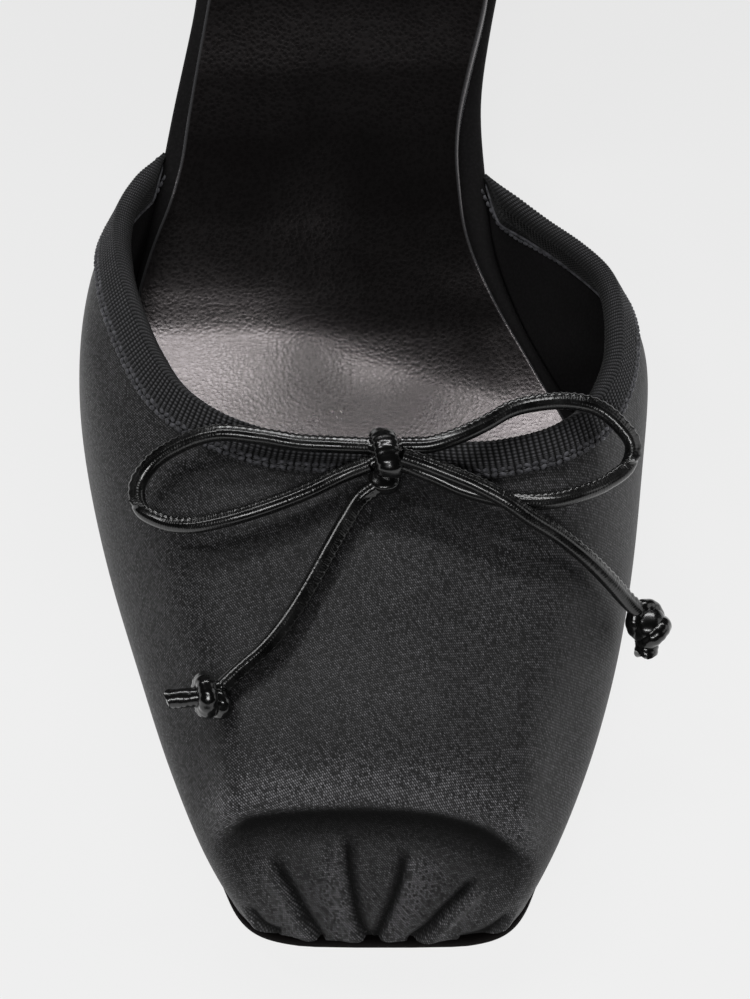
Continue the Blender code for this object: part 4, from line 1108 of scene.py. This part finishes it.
def wall_pieces(name, ribs, across, steps, creases, uv_of, solid):
    """Satin and lining of one wall of the upper, each a closed shell on the ribs' skin.

    The satin is moved along its normals by the creases' heights and, higher up, by slow ripples."""
    ripples_from, ripples_over = 12.0, 10.0
    grid, length = skin(ribs, across, lambda length: np.broadcast_to(steps, (len(length), len(steps))))
    calm = averaged(grid, CALM_PASSES)
    grid = calm + averaged(grid - calm, CALM_PASSES)
    rows, cols = grid.shape[:2]
    normal = outward(grid, np.clip(steps[None] * length[:, None] / LEVEL_RUN, 0, 1))
    flat, flat_normal = grid.reshape(-1, 3), normal.reshape(-1, 3)
    depth = bpy.context.scene.pump_sizes.pleat_depth
    found = [crease_heights(flat, flat_normal, crease) for crease in creases]
    height = sum((rise * depth for rise, _ in found), np.zeros(len(flat)))
    shades = np.array([shade for _, shade in found] or [np.zeros(len(flat))])
    # fold is light painted into the satin's colour: painted shade in crease troughs, painted highlight on
    # rolls
    fold = np.maximum(shades.max(0), 0) + np.minimum(shades.min(0), 0)
    x, back, z = flat.T
    slow = np.sin(x / 5.3 + 0.6) * np.sin(back / 7.1) + np.sin(x / 9.7 - back / 11.3)
    height += RIPPLE_HEIGHT * slow * np.clip((z - ripples_from) / ripples_over, 0, 1)
    sunk = np.minimum(height, 0).reshape(rows, cols, 1)
    thin = thinning(run_of(grid[:, cols // 2]))[:, None, None]
    behind = coarsened(grid + normal * (sunk - SATIN_THICK * thin))
    points = np.concatenate([flat + flat_normal * height[:, None], behind])
    uv = uv_of(grid)
    uv = np.concatenate([uv, coarsened(uv.reshape(rows, cols, 2))])
    folds = {"fold": np.concatenate([fold, np.zeros(len(behind))])}
    cloth = shared("black_satin", satin_material)
    satin = make_piece(name + "_satin", points, shell_faces(rows, cols, COARSE), cloth, uv, folds, 70.0)
    finish_piece(satin, "satin", solid)
    near = coarsened(grid + normal * (sunk - SATIN_THICK * thin - SKIN_GAP))
    far = coarsened(grid + normal * (sunk - UPPER_WALL * thin))
    faces = shell_faces(len(range(0, rows, COARSE)), len(range(0, cols, COARSE)), 1)
    leather = shared("black_lining_leather", lining_material)
    lining = make_piece(name + "_lining", np.concatenate([near, far]), faces, leather)
    finish_piece(lining, "lining_leather", solid)


def tape_strip(ribs, stations, shares):
    """The skin under a binding, as a grid [station, share]: share 0 is the tape's edge and 1 the rim."""
    across = np.linspace(0, 1, stations)
    return skin(ribs, across, lambda length: 1 - tape_share(length)[:, None] * (1 - shares[None]))[0]


def bead_radius(angle, run):
    """Radius of the round bead along the tape's selvedge, a little uneven."""
    return 0.2 + 0.02 * np.sin(run * 5.0) + 0 * angle


def binding_piece(name, ribs, solid):
    """Grosgrain tape folded over the rim: a U section carried along the rim, ribbed across its length.

    Ribs are rounded: thickness + ridge * (1 + cos(2 pi run / pitch)) / 2. They fade at the stitched margin.
    The tape thins out over its last centimetre, where it runs under the footbed."""
    inner_lift, wall_lift, bead_lift, stitch_lift = 0.1, 0.08, 0.15, 0.14
    bead_step = 4
    sizes = bpy.context.scene.pump_sizes
    share, thick, ridge = np.array(TAPE_PROFILE, float).T
    pitch = sizes.rib_pitch / MM
    count = round(run_of(tape_strip(ribs, 200, np.array([0.0, 0.5, 1.0]))[:, 1])[-1] / pitch)
    strip = tape_strip(ribs, count * RIB_STATIONS + 1, share)
    normal = outward(strip)
    run = run_of(strip[:, len(share) // 2])
    run = run * (count * pitch / run[-1])
    crest = 0.5 + 0.5 * np.cos(2 * math.pi * run / pitch)
    thin = thinning(run)[:, None]
    wall, tape = UPPER_WALL * thin, TAPE_THICK * thin
    rib = ridge[None] * crest[:, None] * RIB_HEIGHT * thin
    outer = strip + normal * (TAPE_LIFT + thick[None] * tape + rib)[..., None]
    inner = strip - normal * (wall + inner_lift + thick[None] * tape + rib * 0.8)[..., None]
    edge, edge_out, rim, rim_out = strip[:, 0], normal[:, 0], strip[:, -1], normal[:, -1]
    up = unit(rim - strip[:, -3])
    turn = np.linspace(0, math.pi, 11)[1:-1]
    half = wall / 2 + TAPE_LIFT + tape + rib[:, -1:]
    rise = np.sin(turn)[None] * (0.85 * tape + 0.6 * rib[:, -1:])
    out = np.cos(turn)[None] * half
    over = (rim - rim_out * wall / 2)[:, None]
    over = over + rim_out[:, None] * out[..., None] + up[:, None] * rise[..., None]
    hidden = [
        edge - edge_out * (wall + wall_lift),
        rim - rim_out * (wall + wall_lift) + up * TAPE_LIFT * thin,
        rim + rim_out * inner_lift + up * TAPE_LIFT * thin,
        edge + edge_out * inner_lift,
    ]
    sections = np.concatenate([outer, over, inner[:, ::-1], np.stack(hidden, 1)], 1)
    cloth = shared("black_grosgrain", grosgrain_material)
    piece = tube_piece(name, sections, 4 * TAPE_WIDTH + 4.0, cloth, run=run, sharp=75.0)
    finish_piece(piece, "grosgrain", solid)
    # The selvedge bead is made in the lighter thread colour: a painted highlight along the tape's inner edge
    bead = (strip[:, 1] - normal[:, 1] * (wall + bead_lift + 0.8 * tape))[::bead_step]
    bead = carried(bead, edge_out[::bead_step], bead_radius, 10)
    thread = shared("black_thread", thread_material)
    finish_piece(tube_piece(name + "_selvedge", bead, 1.3, thread), "grosgrain")
    rows = []
    for where, face, slant in STITCH_ROWS:
        line = tape_strip(ribs, count + 1, np.array([where - 0.02, where + 0.02]))
        out = outward(line)[:, 1] * face
        height = stitch_lift + (TAPE_THICK * np.interp(where, share, thick) if where > 0 else 0.0)
        height += UPPER_WALL if face < 0 else 0.0
        rows.append(stitches(line[:, 1] + out * height, out, sizes.stitch_pitch / MM, slant))
    stitched(name + "_stitches", rows, "grosgrain")


def stitches(line, out, pitch, slant, length=0.86, thick=0.3):
    """Stitches along a line: [stitch, ring, corner] points of small flattened spindles, turned by `slant`."""
    run = run_of(line)
    at = np.arange(pitch, run[-1] - pitch, pitch)
    centre, out = read_line(line, run, at), unit(read_line(out, run, at))
    along = unit(read_line(np.gradient(line, axis=0), run, at))
    side = np.cross(out, along)
    lean = np.where(np.arange(len(at)) % 2, slant, -slant)[:, None]
    along, side = along * np.cos(lean) + side * np.sin(lean), side * np.cos(lean) - along * np.sin(lean)
    ring = np.array([-0.5, -0.38, -0.12, 0.12, 0.38, 0.5])[:, None] * length * pitch
    fat = np.array([0.3, 0.8, 1.0, 1.0, 0.8, 0.3])[:, None, None] * thick
    sunk = np.array([-0.16, 0.0, 0.06, 0.06, 0.0, -0.16])[:, None]
    angle = circle(8)[:, None]
    base = centre[:, None] + along[:, None] * ring + out[:, None] * sunk
    turn = np.cos(angle) * out[:, None, None] * 0.8 + np.sin(angle) * side[:, None, None]
    return base[:, :, None] + turn * fat


def stitched(name, rows, slot):
    """One piece from rows of stitches [stitch, ring, corner, 3]."""
    points = np.concatenate(rows)
    count, rings, corners = points.shape[:3]
    faces, _ = ring_faces(rings, corners)
    first = (np.arange(count) * rings * corners)[:, None, None]
    faces = [(first + f[None]).reshape(-1, f.shape[1]) for f in faces]
    return finish_piece(make_piece(name, points, faces, shared("black_thread", thread_material)), slot)


def plan_normals(line, closed=False):
    """Unit normals of a plan line (x, back), on the left of its direction of travel."""
    if closed:
        along = np.roll(line, -1, 0) - np.roll(line, 1, 0)
    else:
        along = np.gradient(line, axis=0)
    along = unit(along)
    return np.column_stack([-along[:, 1], along[:, 0]])


def wall_foot(ribs, count):
    """Plan lines of a wall's foot: its feather line, and the line inside it that clears wall and binding."""
    sock_room = 1.2

    def steps_of(length):
        edge = 1 - tape_share(length)[:, None]
        return np.concatenate([edge * np.linspace(0, 1, 30), np.ones((len(length), 1))], 1)

    grid, length = skin(ribs, np.linspace(0, 1, count), steps_of)
    level = np.clip(steps_of(length) * length[:, None] / LEVEL_RUN, 0, 1)
    inner = grid - outward(grid, level) * UPPER_WALL
    feather = grid[:, 0, :2]
    inward = plan_normals(feather)
    top = feather_height(feather[:, 1]) + INSOLE_THICK + sock_room
    depth = ((inner[..., :2] - feather[:, None]) * inward[:, None]).sum(-1)
    depth = np.array([max(d[0], np.interp(z, run, d)) for z, run, d in zip(top, inner[..., 2], depth)])
    tape = np.clip(top + 1.0 - grid[:, -2, 2], 0, 1) * (TAPE_THICK + FIT_GAP)
    return feather, feather + inward * (np.maximum(depth, UPPER_WALL) + tape + FIT_GAP)[:, None]


def wall_feet():
    """Feather and inside lines of the vamp's foot, and of the counter's."""
    return wall_foot(VAMP_RIBS, VAMP_FOOT), wall_foot(COUNTER_RIBS, COUNTER_FOOT)


def bottom_edges(vamp, counter):
    """Lateral and medial plan lines of the whole bottom, toe to heel, through the bare waist."""
    waist = np.array(WAIST, float)
    toe, heel = len(vamp) // 2, len(counter) // 2
    lateral = np.concatenate([vamp[toe::-1], waist[:, [1, 0]], counter[: heel - 1 : -1]])
    medial = np.concatenate([vamp[toe:], waist[:, [2, 0]], counter[: heel + 1]])
    return lateral, medial


def sole_edges(lateral, medial):
    """The outsole's edges: the feather lines moved out by SOLE_EDGE."""
    rows = np.array(SOLE_EDGE, float)
    moved = []
    for line, side in ((lateral, 1.0), (medial, -1.0)):
        outset = np.interp(line[:, 1], rows[:, 0], rows[:, 1])
        moved.append(line + plan_normals(line) * (side * outset)[:, None])
    return moved


def stations(lateral, medial, count, ends=(0.2, 0.2)):
    """Pairs of edge points (back, lateral x, medial x), closer together at toe and heel."""
    first = max(lateral[:, 1].min(), medial[:, 1].min()) + ends[0]
    last = min(lateral[:, 1].max(), medial[:, 1].max()) - ends[1]
    even = np.linspace(0, 1, count)
    back = first + (last - first) * (0.2 * even + 0.8 * (1 - np.cos(math.pi * even)) / 2)
    sides = [np.interp(back, np.maximum.accumulate(line[:, 1]), line[:, 0]) for line in (lateral, medial)]
    return np.column_stack([back, *sides])


def calmed(values, passes):
    """A closed run of values with its kinks averaged out."""
    for _ in range(passes):
        values = 0.5 * values + 0.25 * (np.roll(values, 1, 0) + np.roll(values, -1, 0))
    return values


def pair_ring(pairs):
    """Closed plan ring through station pairs: down the lateral edge and back up the medial one."""
    return np.concatenate([pairs[:, [1, 0]], pairs[::-1][:, [2, 0]]])


def footbed_height(back, share):
    """Height that the padding adds to the sock, share 0 being its lateral edge and 1 its medial edge.

    It is dished under the ball of the foot. Under the arch it rises, earlier and higher towards the medial
    side, and it falls off at the lateral edge."""
    arch_start, arch_end, dish_end, ball = 106.5, 195.0, 107.0, 108.0
    padding_height, uneven_height = 0.2, 0.03
    early = 11.0 * np.clip((share - 0.5) / 0.42, 0, 1)
    high = 1 + 0.45 * np.clip((share - 0.7) / 0.3, 0, 1)
    along = gentle((back - arch_start + early) / 24.0), gentle((arch_end - back) / 60.0)
    arch = gentle((share - 0.3) / 0.4) * along[0] * along[1]
    dish = 0.0009 * np.clip(dish_end - back, 0, 22) ** 2
    uneven = np.sin(back / 5.2 + 5 * share) * np.sin(9 * share + back / 11.0)
    uneven = uneven_height * (uneven + 0.6 * np.sin(back / 9.0 - 11 * share))
    near_ball = np.exp(-(((back - ball) / 18.0) ** 2))
    padding = padding_height * (1 - np.clip(1 - 2 * share, 0, 1) ** 8)
    return padding + dish + near_ball * uneven + ARCH_HEIGHT * high * arch


def layered(name, rings, columns, mat, edge=None, height=None):
    """A layer through rings of station pairs, closed below and above by grids across the pairs.

    All but the lowest ring rises by height(back, share), share being the share across. `edge` is each ring's
    share of the edge's colour."""
    levels, corners = rings.shape[:2]
    half = corners // 2
    raised = rings.copy()
    if height:
        raised[1:, :half, 2] += height(rings[1:, :half, 1], 0.0)
        raised[1:, half:, 2] += height(rings[1:, half:, 1], 1.0)
    index = np.arange(levels * corners).reshape(levels, corners)
    faces = [quads(np.concatenate([index, index[:, :1]], 1))]
    points, first = [raised.reshape(-1, 3)], levels * corners
    share = np.linspace(0, 1, columns + 2)[1:-1]
    for level in (0, -1):
        left, right = rings[level, :half], rings[level, : half - 1 : -1]
        inside = left[:, None] * (1 - share[:, None]) + right[:, None] * share[:, None]
        if level and height:
            inside[..., 2] += height(inside[..., 1], share[None])
        number = first + np.arange(half * columns).reshape(half, columns)
        across = np.column_stack([index[level, :half], number, index[level, : half - 1 : -1]])
        faces.append(quads(across))
        points.append(inside.reshape(-1, 3))
        first += half * columns
    masks = {}
    if edge is not None:
        caps = np.repeat([edge[0], edge[-1]], half * columns)
        masks["edge"] = np.concatenate([np.repeat(edge, corners), caps])
    return make_piece(name, np.concatenate(points), faces, mat, masks=masks, sharp=50.0)


def plate_rings(pairs, base, levels, calm=2):
    """Rings of a layer that follows the sole's profile, one for each level of its edge above `base`."""
    ring = calmed(pair_ring(pairs), calm)
    out = unit(calmed(plan_normals(ring, closed=True), 6))
    rings = []
    for level in levels:
        moved = ring - out * level.inset
        height = underside(moved[:, 1]) + lift(moved[:, 1], base + level.height)
        rings.append(np.column_stack([moved, height]))
    return np.array(rings)


def heel_rings(pairs, levels):
    """The heel's sections: the seat's ring, shrunk by HEEL_ROWS while its slope levels out to the floor."""
    ring = pair_ring(pairs)
    across = np.linspace(0, 1, 26)[1:-1, None]
    ring = np.concatenate([ring, ring[-1] * (1 - across) + ring[0] * across])
    ring = calmed(ring, 3)
    seat = underside(ring[:, 1]) - lift(ring[:, 1], FIT_GAP)
    rows = smooth(HEEL_ROWS, np.linspace(0, 1, levels))
    centre = np.array([HEEL_CENTRE_X, HEEL_ROWS[0].centre_back])
    rings = []
    for drop, width, depth, centre_back in rows:
        moved = (ring - centre) * (width, depth) + (HEEL_CENTRE_X, centre_back)
        rings.append(np.column_stack([moved, seat * (1 - drop) + TOP_PIECE_THICK * drop]))
    return np.array(rings)


def strap_sections(route, side, wide, gathered, count, pucker):
    """Sections of a flat satin tie: a rounded, slightly pillowed strip carried along a smooth route.

    `gathered` is the share of its width left at its ends, where folds of `pucker` mm run along it."""
    points = np.array(route, float)
    points[:, 0] = HEEL_CENTRE_X + side * points[:, 0]
    share = np.linspace(0, 1, count)
    path = smooth(points, share)
    along = unit(np.gradient(path, axis=0))
    wide = np.array(wide, float) - along * (along @ np.array(wide, float))[:, None]
    wide = unit(wide)
    thick = np.cross(along, wide)
    left = np.interp(share, (0, 0.25, 0.75, 1), (gathered[0], 1, 1, gathered[1]))[:, None]
    cos, sin = np.cos(circle(40)), np.sin(circle(40))
    flat = np.sign(cos) * np.abs(cos) ** 0.45
    body = np.sign(sin) * np.abs(sin) ** 0.6 * (TIE_THICK / 2)
    groove = 0.16 * np.exp(-(((np.abs(flat) - 0.78) / 0.07) ** 2)) * np.sign(body)
    fold = pucker * (1 - left) * np.cos(flat * 9.0) * np.sign(body)
    lean = 0.25 * np.sin(share * 17.0)[:, None] * flat
    across, up = TIE_WIDTH / 2 * left * flat, body - groove + fold + lean
    return path[:, None] + wide[:, None] * across[..., None] + thick[:, None] * up[..., None]


def number_property(name, description, default, **kind):
    """A number in the panel."""
    return bpy.props.FloatProperty(name=name, description=description, default=default, **kind)


def colour_property(name, description, default):
    """A colour in the panel."""
    return bpy.props.FloatVectorProperty(
        name=name, description=description, default=default, subtype="COLOR", min=0, max=1
    )


class PumpSizes(bpy.types.PropertyGroup):
    """Sizes of the shoe's finer details."""

    twill_pitch: number_property("Twill pitch", "Distance between the satin's floats", 0.0003, unit="LENGTH")
    pleat_depth: number_property("Pleat depth", "Share of the toe creases' full depth", 1.0, subtype="FACTOR")
    rib_pitch: number_property("Tape rib pitch", "Distance between the tape's ribs", 0.00088, unit="LENGTH")
    stitch_pitch: number_property("Stitch pitch", "Distance between its stitches", 0.00125, unit="LENGTH")
    grain_size: number_property("Sock grain", "Width of the sock leather's pebbles", 0.00065, unit="LENGTH")


class PumpColours(bpy.types.PropertyGroup):
    """Colours of the shoe's materials and of the floor."""

    satin: colour_property("Satin", "Upper, heel cover and ankle tie", (0.036, 0.0355, 0.0375))
    grosgrain: colour_property("Grosgrain", "Binding tape", (0.045, 0.045, 0.048))
    sock: colour_property("Sock", "Grained leather of the footbed", (0.0045, 0.004, 0.004))
    sock_edge: colour_property("Sock edge", "Bare cut edge of the sock", (0.1, 0.1, 0.105))
    lining: colour_property("Lining", "Leather inside the upper", (0.011, 0.0102, 0.0108))
    sole: colour_property("Sole", "Underside of the outsole", (0.05, 0.028, 0.018))
    sole_edge: colour_property("Sole edge", "Dyed edge of the outsole", (0.006, 0.005, 0.005))
    cord: colour_property("Cord", "Rolled leather cord of the bow", (0.006, 0.006, 0.006))
    rubber: colour_property("Rubber", "Top piece of the heel", (0.012, 0.012, 0.012))
    # Lighter than the tape: partly the thread's own grey, partly a painted highlight on stitches and selvedge
    # bead
    thread: colour_property("Thread", "Stitching", (0.085, 0.085, 0.095))
    floor: colour_property("Floor", "Studio floor", (0.06, 0.06, 0.06))


class PumpLights(bpy.types.PropertyGroup):
    """Strength of the studio's soft lights."""

    back: number_property("Back softbox", "Watts of the softbox behind the heel", 4.4, unit="POWER")
    front: number_property("Front softbox", "Watts of the softbox over the camera", 3.2, unit="POWER")
    medial: number_property("Medial softbox", "Watts of the low softbox, medial side", 1.8, unit="POWER")
    lateral: number_property("Lateral softbox", "Watts of the high softbox, lateral side", 1.7, unit="POWER")
    floor: number_property("Lit floor", "Brightness of the light that the floor gives off", 0.83)
    room: number_property("Room", "Brightness of the room's even light", 0.005)


class PUMP_OT_stage(bpy.types.Operator):
    """Pale floor, soft studio light and the photograph's camera"""

    bl_idname = "pump.stage"
    bl_label = "Stage"

    def execute(self, context):
        scene, lights = context.scene, context.scene.pump_lights
        target = np.array(CAMERA_TARGET)
        back = np.array([0.0, -math.cos(CAMERA_ELEVATION), math.sin(CAMERA_ELEVATION)])
        camera = bpy.data.objects.new("camera", bpy.data.cameras.new("camera"))
        camera.data.lens = CAMERA_LENS
        camera.data.clip_start = 0.01
        camera.location = target + back * CAMERA_DISTANCE
        camera.rotation_euler = (math.pi / 2 - CAMERA_ELEVATION, 0.0, 0.0)
        scene.collection.objects.link(camera)
        scene.camera = camera
        scene.view_settings.view_transform = "Standard"
        for name, where, size, watts in SOFTBOXES:
            lamp = bpy.data.lights.new(name, "AREA")
            lamp.shape = "RECTANGLE"
            lamp.size, lamp.size_y = size
            lamp.energy = getattr(lights, watts)
            holder = bpy.data.objects.new(name, lamp)
            scene.collection.objects.link(holder)
            holder.location = where
            away = holder.location - mathutils.Vector(LIGHTS_AIM)
            holder.rotation_euler = away.to_track_quat("Z", "Y").to_euler()
        world = bpy.data.worlds.new("room")
        scene.world = world
        world.use_nodes = True
        feed(world.node_tree, world.node_tree.nodes["Background"], ((1.0, 1.0, 1.0, 1.0), lights.room))
        turn = circle(96)
        disc = np.stack([np.cos(turn), np.sin(turn), 0 * turn], -1) * FLOOR_RADIUS + (0.0, TOE_TO_BALL, 0.0)
        floor = make_piece("floor", disc, [np.arange(len(disc))[None]], floor_material())
        return {"FINISHED"}


class PUMP_OT_bow(bpy.types.Operator):
    """Leather cord bow on the throat: two loops, two tails, the wrap knot and the end knots"""

    bl_idname = "pump.bow"
    bl_label = "Bow"

    def execute(self, context):
        roots = [route[end] for route in (LATERAL_LOOP, MEDIAL_LOOP) for end in (0, -1)]
        wrap = [
            (wrap_rings(BOW_CENTRE, half_back=3.1, half_z=1.9, width=1.9, thick=1.05, lean=0.6), True),
            (lump_rings(BOW_TUCK, BOW_TUCK_RADII, folds=0.07, count=5), False),
            (lump_rings(BOW_CENTRE, BOW_CORE), False),
        ]
        knot_piece("bow_knot", wrap, BOW_CENTRE, [*roots, LATERAL_TAIL[0], MEDIAL_TAIL[0]])
        for (name, knot), route in zip(TAIL_KNOTS.items(), (LATERAL_TAIL, MEDIAL_TAIL)):
            cut = stub_rings(knot.centre, np.array(knot.centre) + knot.stub, knot.stub_thick)
            turns = [(ring_rings(knot.centre, ring), True) for ring in knot.rings]
            turns += [(lump_rings(knot.centre, knot.core), False), (cut, False)]
            knot_piece(name, turns, knot.centre, route[-1:])
        for name, route, lip, end in (
            ("bow_loop_lateral", LATERAL_LOOP, (-0.5, 0.7, 0.5), None),
            ("bow_loop_medial", MEDIAL_LOOP, (0.4, 0.7, 0.6), None),
            ("bow_tail_lateral", LATERAL_TAIL, (1.0, -0.1, 0.2), "tail_knot_lateral"),
            ("bow_tail_medial", MEDIAL_TAIL, (0.5, 0.7, 0.5), "tail_knot_medial"),
        ):
            piece, length, line = bow_cord(name + "_leather", route, lip)
            finish_piece(piece, "cord_leather", name)
        return {"FINISHED"}


class PUMP_OT_vamp(bpy.types.Operator):
    """Vamp: pleated satin, lining, grosgrain binding and its stitches"""

    bl_idname = "pump.vamp"
    bl_label = "Vamp"

    def execute(self, context):
        across = eased(501, crowd=3.2, centre=0.49, spread=0.14)
        steps = eased(141, crowd=2.2, centre=0.12, spread=0.25)
        wall_pieces("vamp", VAMP_RIBS, across, steps, CREASES, vamp_uv, "vamp_upper")
        binding_piece("vamp_binding_tape", VAMP_RIBS, "vamp_binding")
        return {"FINISHED"}


class PUMP_OT_counter(bpy.types.Operator):
    """Heel counter: satin, lining, grosgrain binding and its stitches"""

    bl_idname = "pump.counter"
    bl_label = "Counter"

    def execute(self, context):
        across, steps = np.linspace(0, 1, 281), np.linspace(0, 1, 81)
        wall_pieces("counter", COUNTER_RIBS, across, steps, (), run_uv, "heel_counter")
        binding_piece("counter_binding_tape", COUNTER_RIBS, "counter_binding")
        return {"FINISHED"}


class PUMP_OT_bottom(bpy.types.Operator):
    """Outsole, insole and grained leather sock"""

    bl_idname = "pump.bottom"
    bl_label = "Bottom"

    def execute(self, context):
        (vamp, vamp_inside), (counter, counter_inside) = wall_feet()
        outside = stations(*sole_edges(*bottom_edges(vamp, counter)), BOTTOM_STATIONS)
        rings = plate_rings(outside, 0.0, OUTSOLE_LEVELS)
        leather = shared("dark_sole_leather", sole_material)
        outsole = layered("outsole_leather", rings, 10, leather, [level.dye for level in OUTSOLE_LEVELS])
        finish_piece(outsole, "sole_leather", "outsole")
        vamp_inside = vamp_inside[vamp_inside[:, 1] < FOOTBED_COVERS[0]]
        counter_inside = counter_inside[counter_inside[:, 1] > FOOTBED_COVERS[1]]
        inside = stations(*bottom_edges(vamp_inside, counter_inside), BOTTOM_STATIONS, (0.3, 0.3))
        base = OUTSOLE_THICK + FIT_GAP
        rings = plate_rings(inside, base, INSOLE_LEVELS, 12)
        insole = layered("insole_cover", rings, 8, shared("black_lining_leather", lining_material))
        finish_piece(insole, "lining_leather", "insole")
        outline = smooth(SOCK_ROWS, np.linspace(0, 1, BOTTOM_STATIONS))
        rings = plate_rings(outline, base + INSOLE_THICK + SKIN_GAP, SOCK_LEVELS)
        leather = shared("black_sock_leather", sock_material)
        cut = [level.dye for level in SOCK_LEVELS]
        sock = layered("sock_leather", rings, 40, leather, cut, footbed_height)
        finish_piece(sock, "sock_leather", "sock")
        return {"FINISHED"}


class PUMP_OT_heel(bpy.types.Operator):
    """Satin covered heel and its rubber top piece"""

    bl_idname = "pump.heel"
    bl_label = "Heel"

    def execute(self, context):
        (vamp, _), (counter, _) = wall_feet()
        seat = [line[line[:, 1] > HEEL_BREAST] for line in sole_edges(*bottom_edges(vamp, counter))]
        rings = heel_rings(stations(*seat, 60, (0.3, 0.3)), 61)
        heel = tube_piece("heel_satin", rings, 130.0, shared("black_satin", satin_material), sharp=40.0)
        finish_piece(heel, "satin", "heel")
        foot, centre = rings[-1] * (1, 1, 0), rings[-1].mean(0) * (1, 1, 0)
        shaped = [centre + (foot - centre) * share + (0, 0, z) for share, z in TOP_PIECE_LEVELS]
        rubber = shared("black_rubber", rubber_material)
        piece = tube_piece("top_piece_rubber", np.array(shaped), 60.0, rubber, sharp=40.0)
        finish_piece(piece, "rubber", "heel_top_piece")
        return {"FINISHED"}


class PUMP_OT_ankle_tie(bpy.types.Operator):
    """Flat satin tie round the ankle, its front knot and two hanging ends"""

    bl_idname = "pump.ankle_tie"
    bl_label = "Ankle tie"

    def execute(self, context):
        satin = shared("black_satin", satin_material)
        for word, side in (("lateral", -1.0), ("medial", 1.0)):
            loop = strap_sections(TIE_ROUTE, side, (0, 0, 1), gathered=(1.0, 0.6), count=240, pucker=0.25)
            finish_piece(tube_piece(f"tie_{word}_satin", loop, 18.0, satin), "satin", f"tie_{word}")
            end = strap_sections(TIE_END_ROUTE, side, (1, 0, 0), gathered=(0.5, 1.0), count=160, pucker=0.3)
            finish_piece(tube_piece(f"tie_end_{word}_satin", end, 18.0, satin), "satin", f"tie_end_{word}")
        knot = lump_rings(TIE_KNOT_CENTRE, TIE_KNOT_RADII, folds=0.05, count=7)
        finish_piece(joined("tie_knot_satin", [(knot, False)], satin), "satin", "tie_knot")
        return {"FINISHED"}


class PUMP_PT_panel(bpy.types.Panel):
    """Lists the pump's settings and the pieces that it builds"""

    bl_idname = "PUMP_PT_panel"
    bl_label = "Satin ankle tie pump"
    bl_space_type = "VIEW_3D"
    bl_region_type = "UI"
    bl_category = "Pump"

    def draw(self, context):
        for group in (context.scene.pump_sizes, context.scene.pump_colours, context.scene.pump_lights):
            box = self.layout.box()
            for key in group.__annotations__:
                box.prop(group, key)
        for operator in OPERATORS:
            self.layout.operator(operator.bl_idname)


GROUPS = {"pump_sizes": PumpSizes, "pump_colours": PumpColours, "pump_lights": PumpLights}
OPERATORS = (
    PUMP_OT_stage, PUMP_OT_bow, PUMP_OT_vamp, PUMP_OT_counter, PUMP_OT_bottom, PUMP_OT_heel,
    PUMP_OT_ankle_tie,
)


def register():
    for made in (*GROUPS.values(), *OPERATORS, PUMP_PT_panel):
        bpy.utils.register_class(made)
    for name, group in GROUPS.items():
        setattr(bpy.types.Scene, name, bpy.props.PointerProperty(type=group))


def unregister():
    for name in GROUPS:
        delattr(bpy.types.Scene, name)
    for made in (PUMP_PT_panel, *OPERATORS, *GROUPS.values()):
        bpy.utils.unregister_class(made)


def main():
    register()
    bpy.ops.pump.stage()
    bpy.ops.pump.bow()
    bpy.ops.pump.vamp()
    bpy.ops.pump.counter()
    bpy.ops.pump.bottom()
    bpy.ops.pump.heel()
    bpy.ops.pump.ankle_tie()


if __name__ == "__main__":
    main()
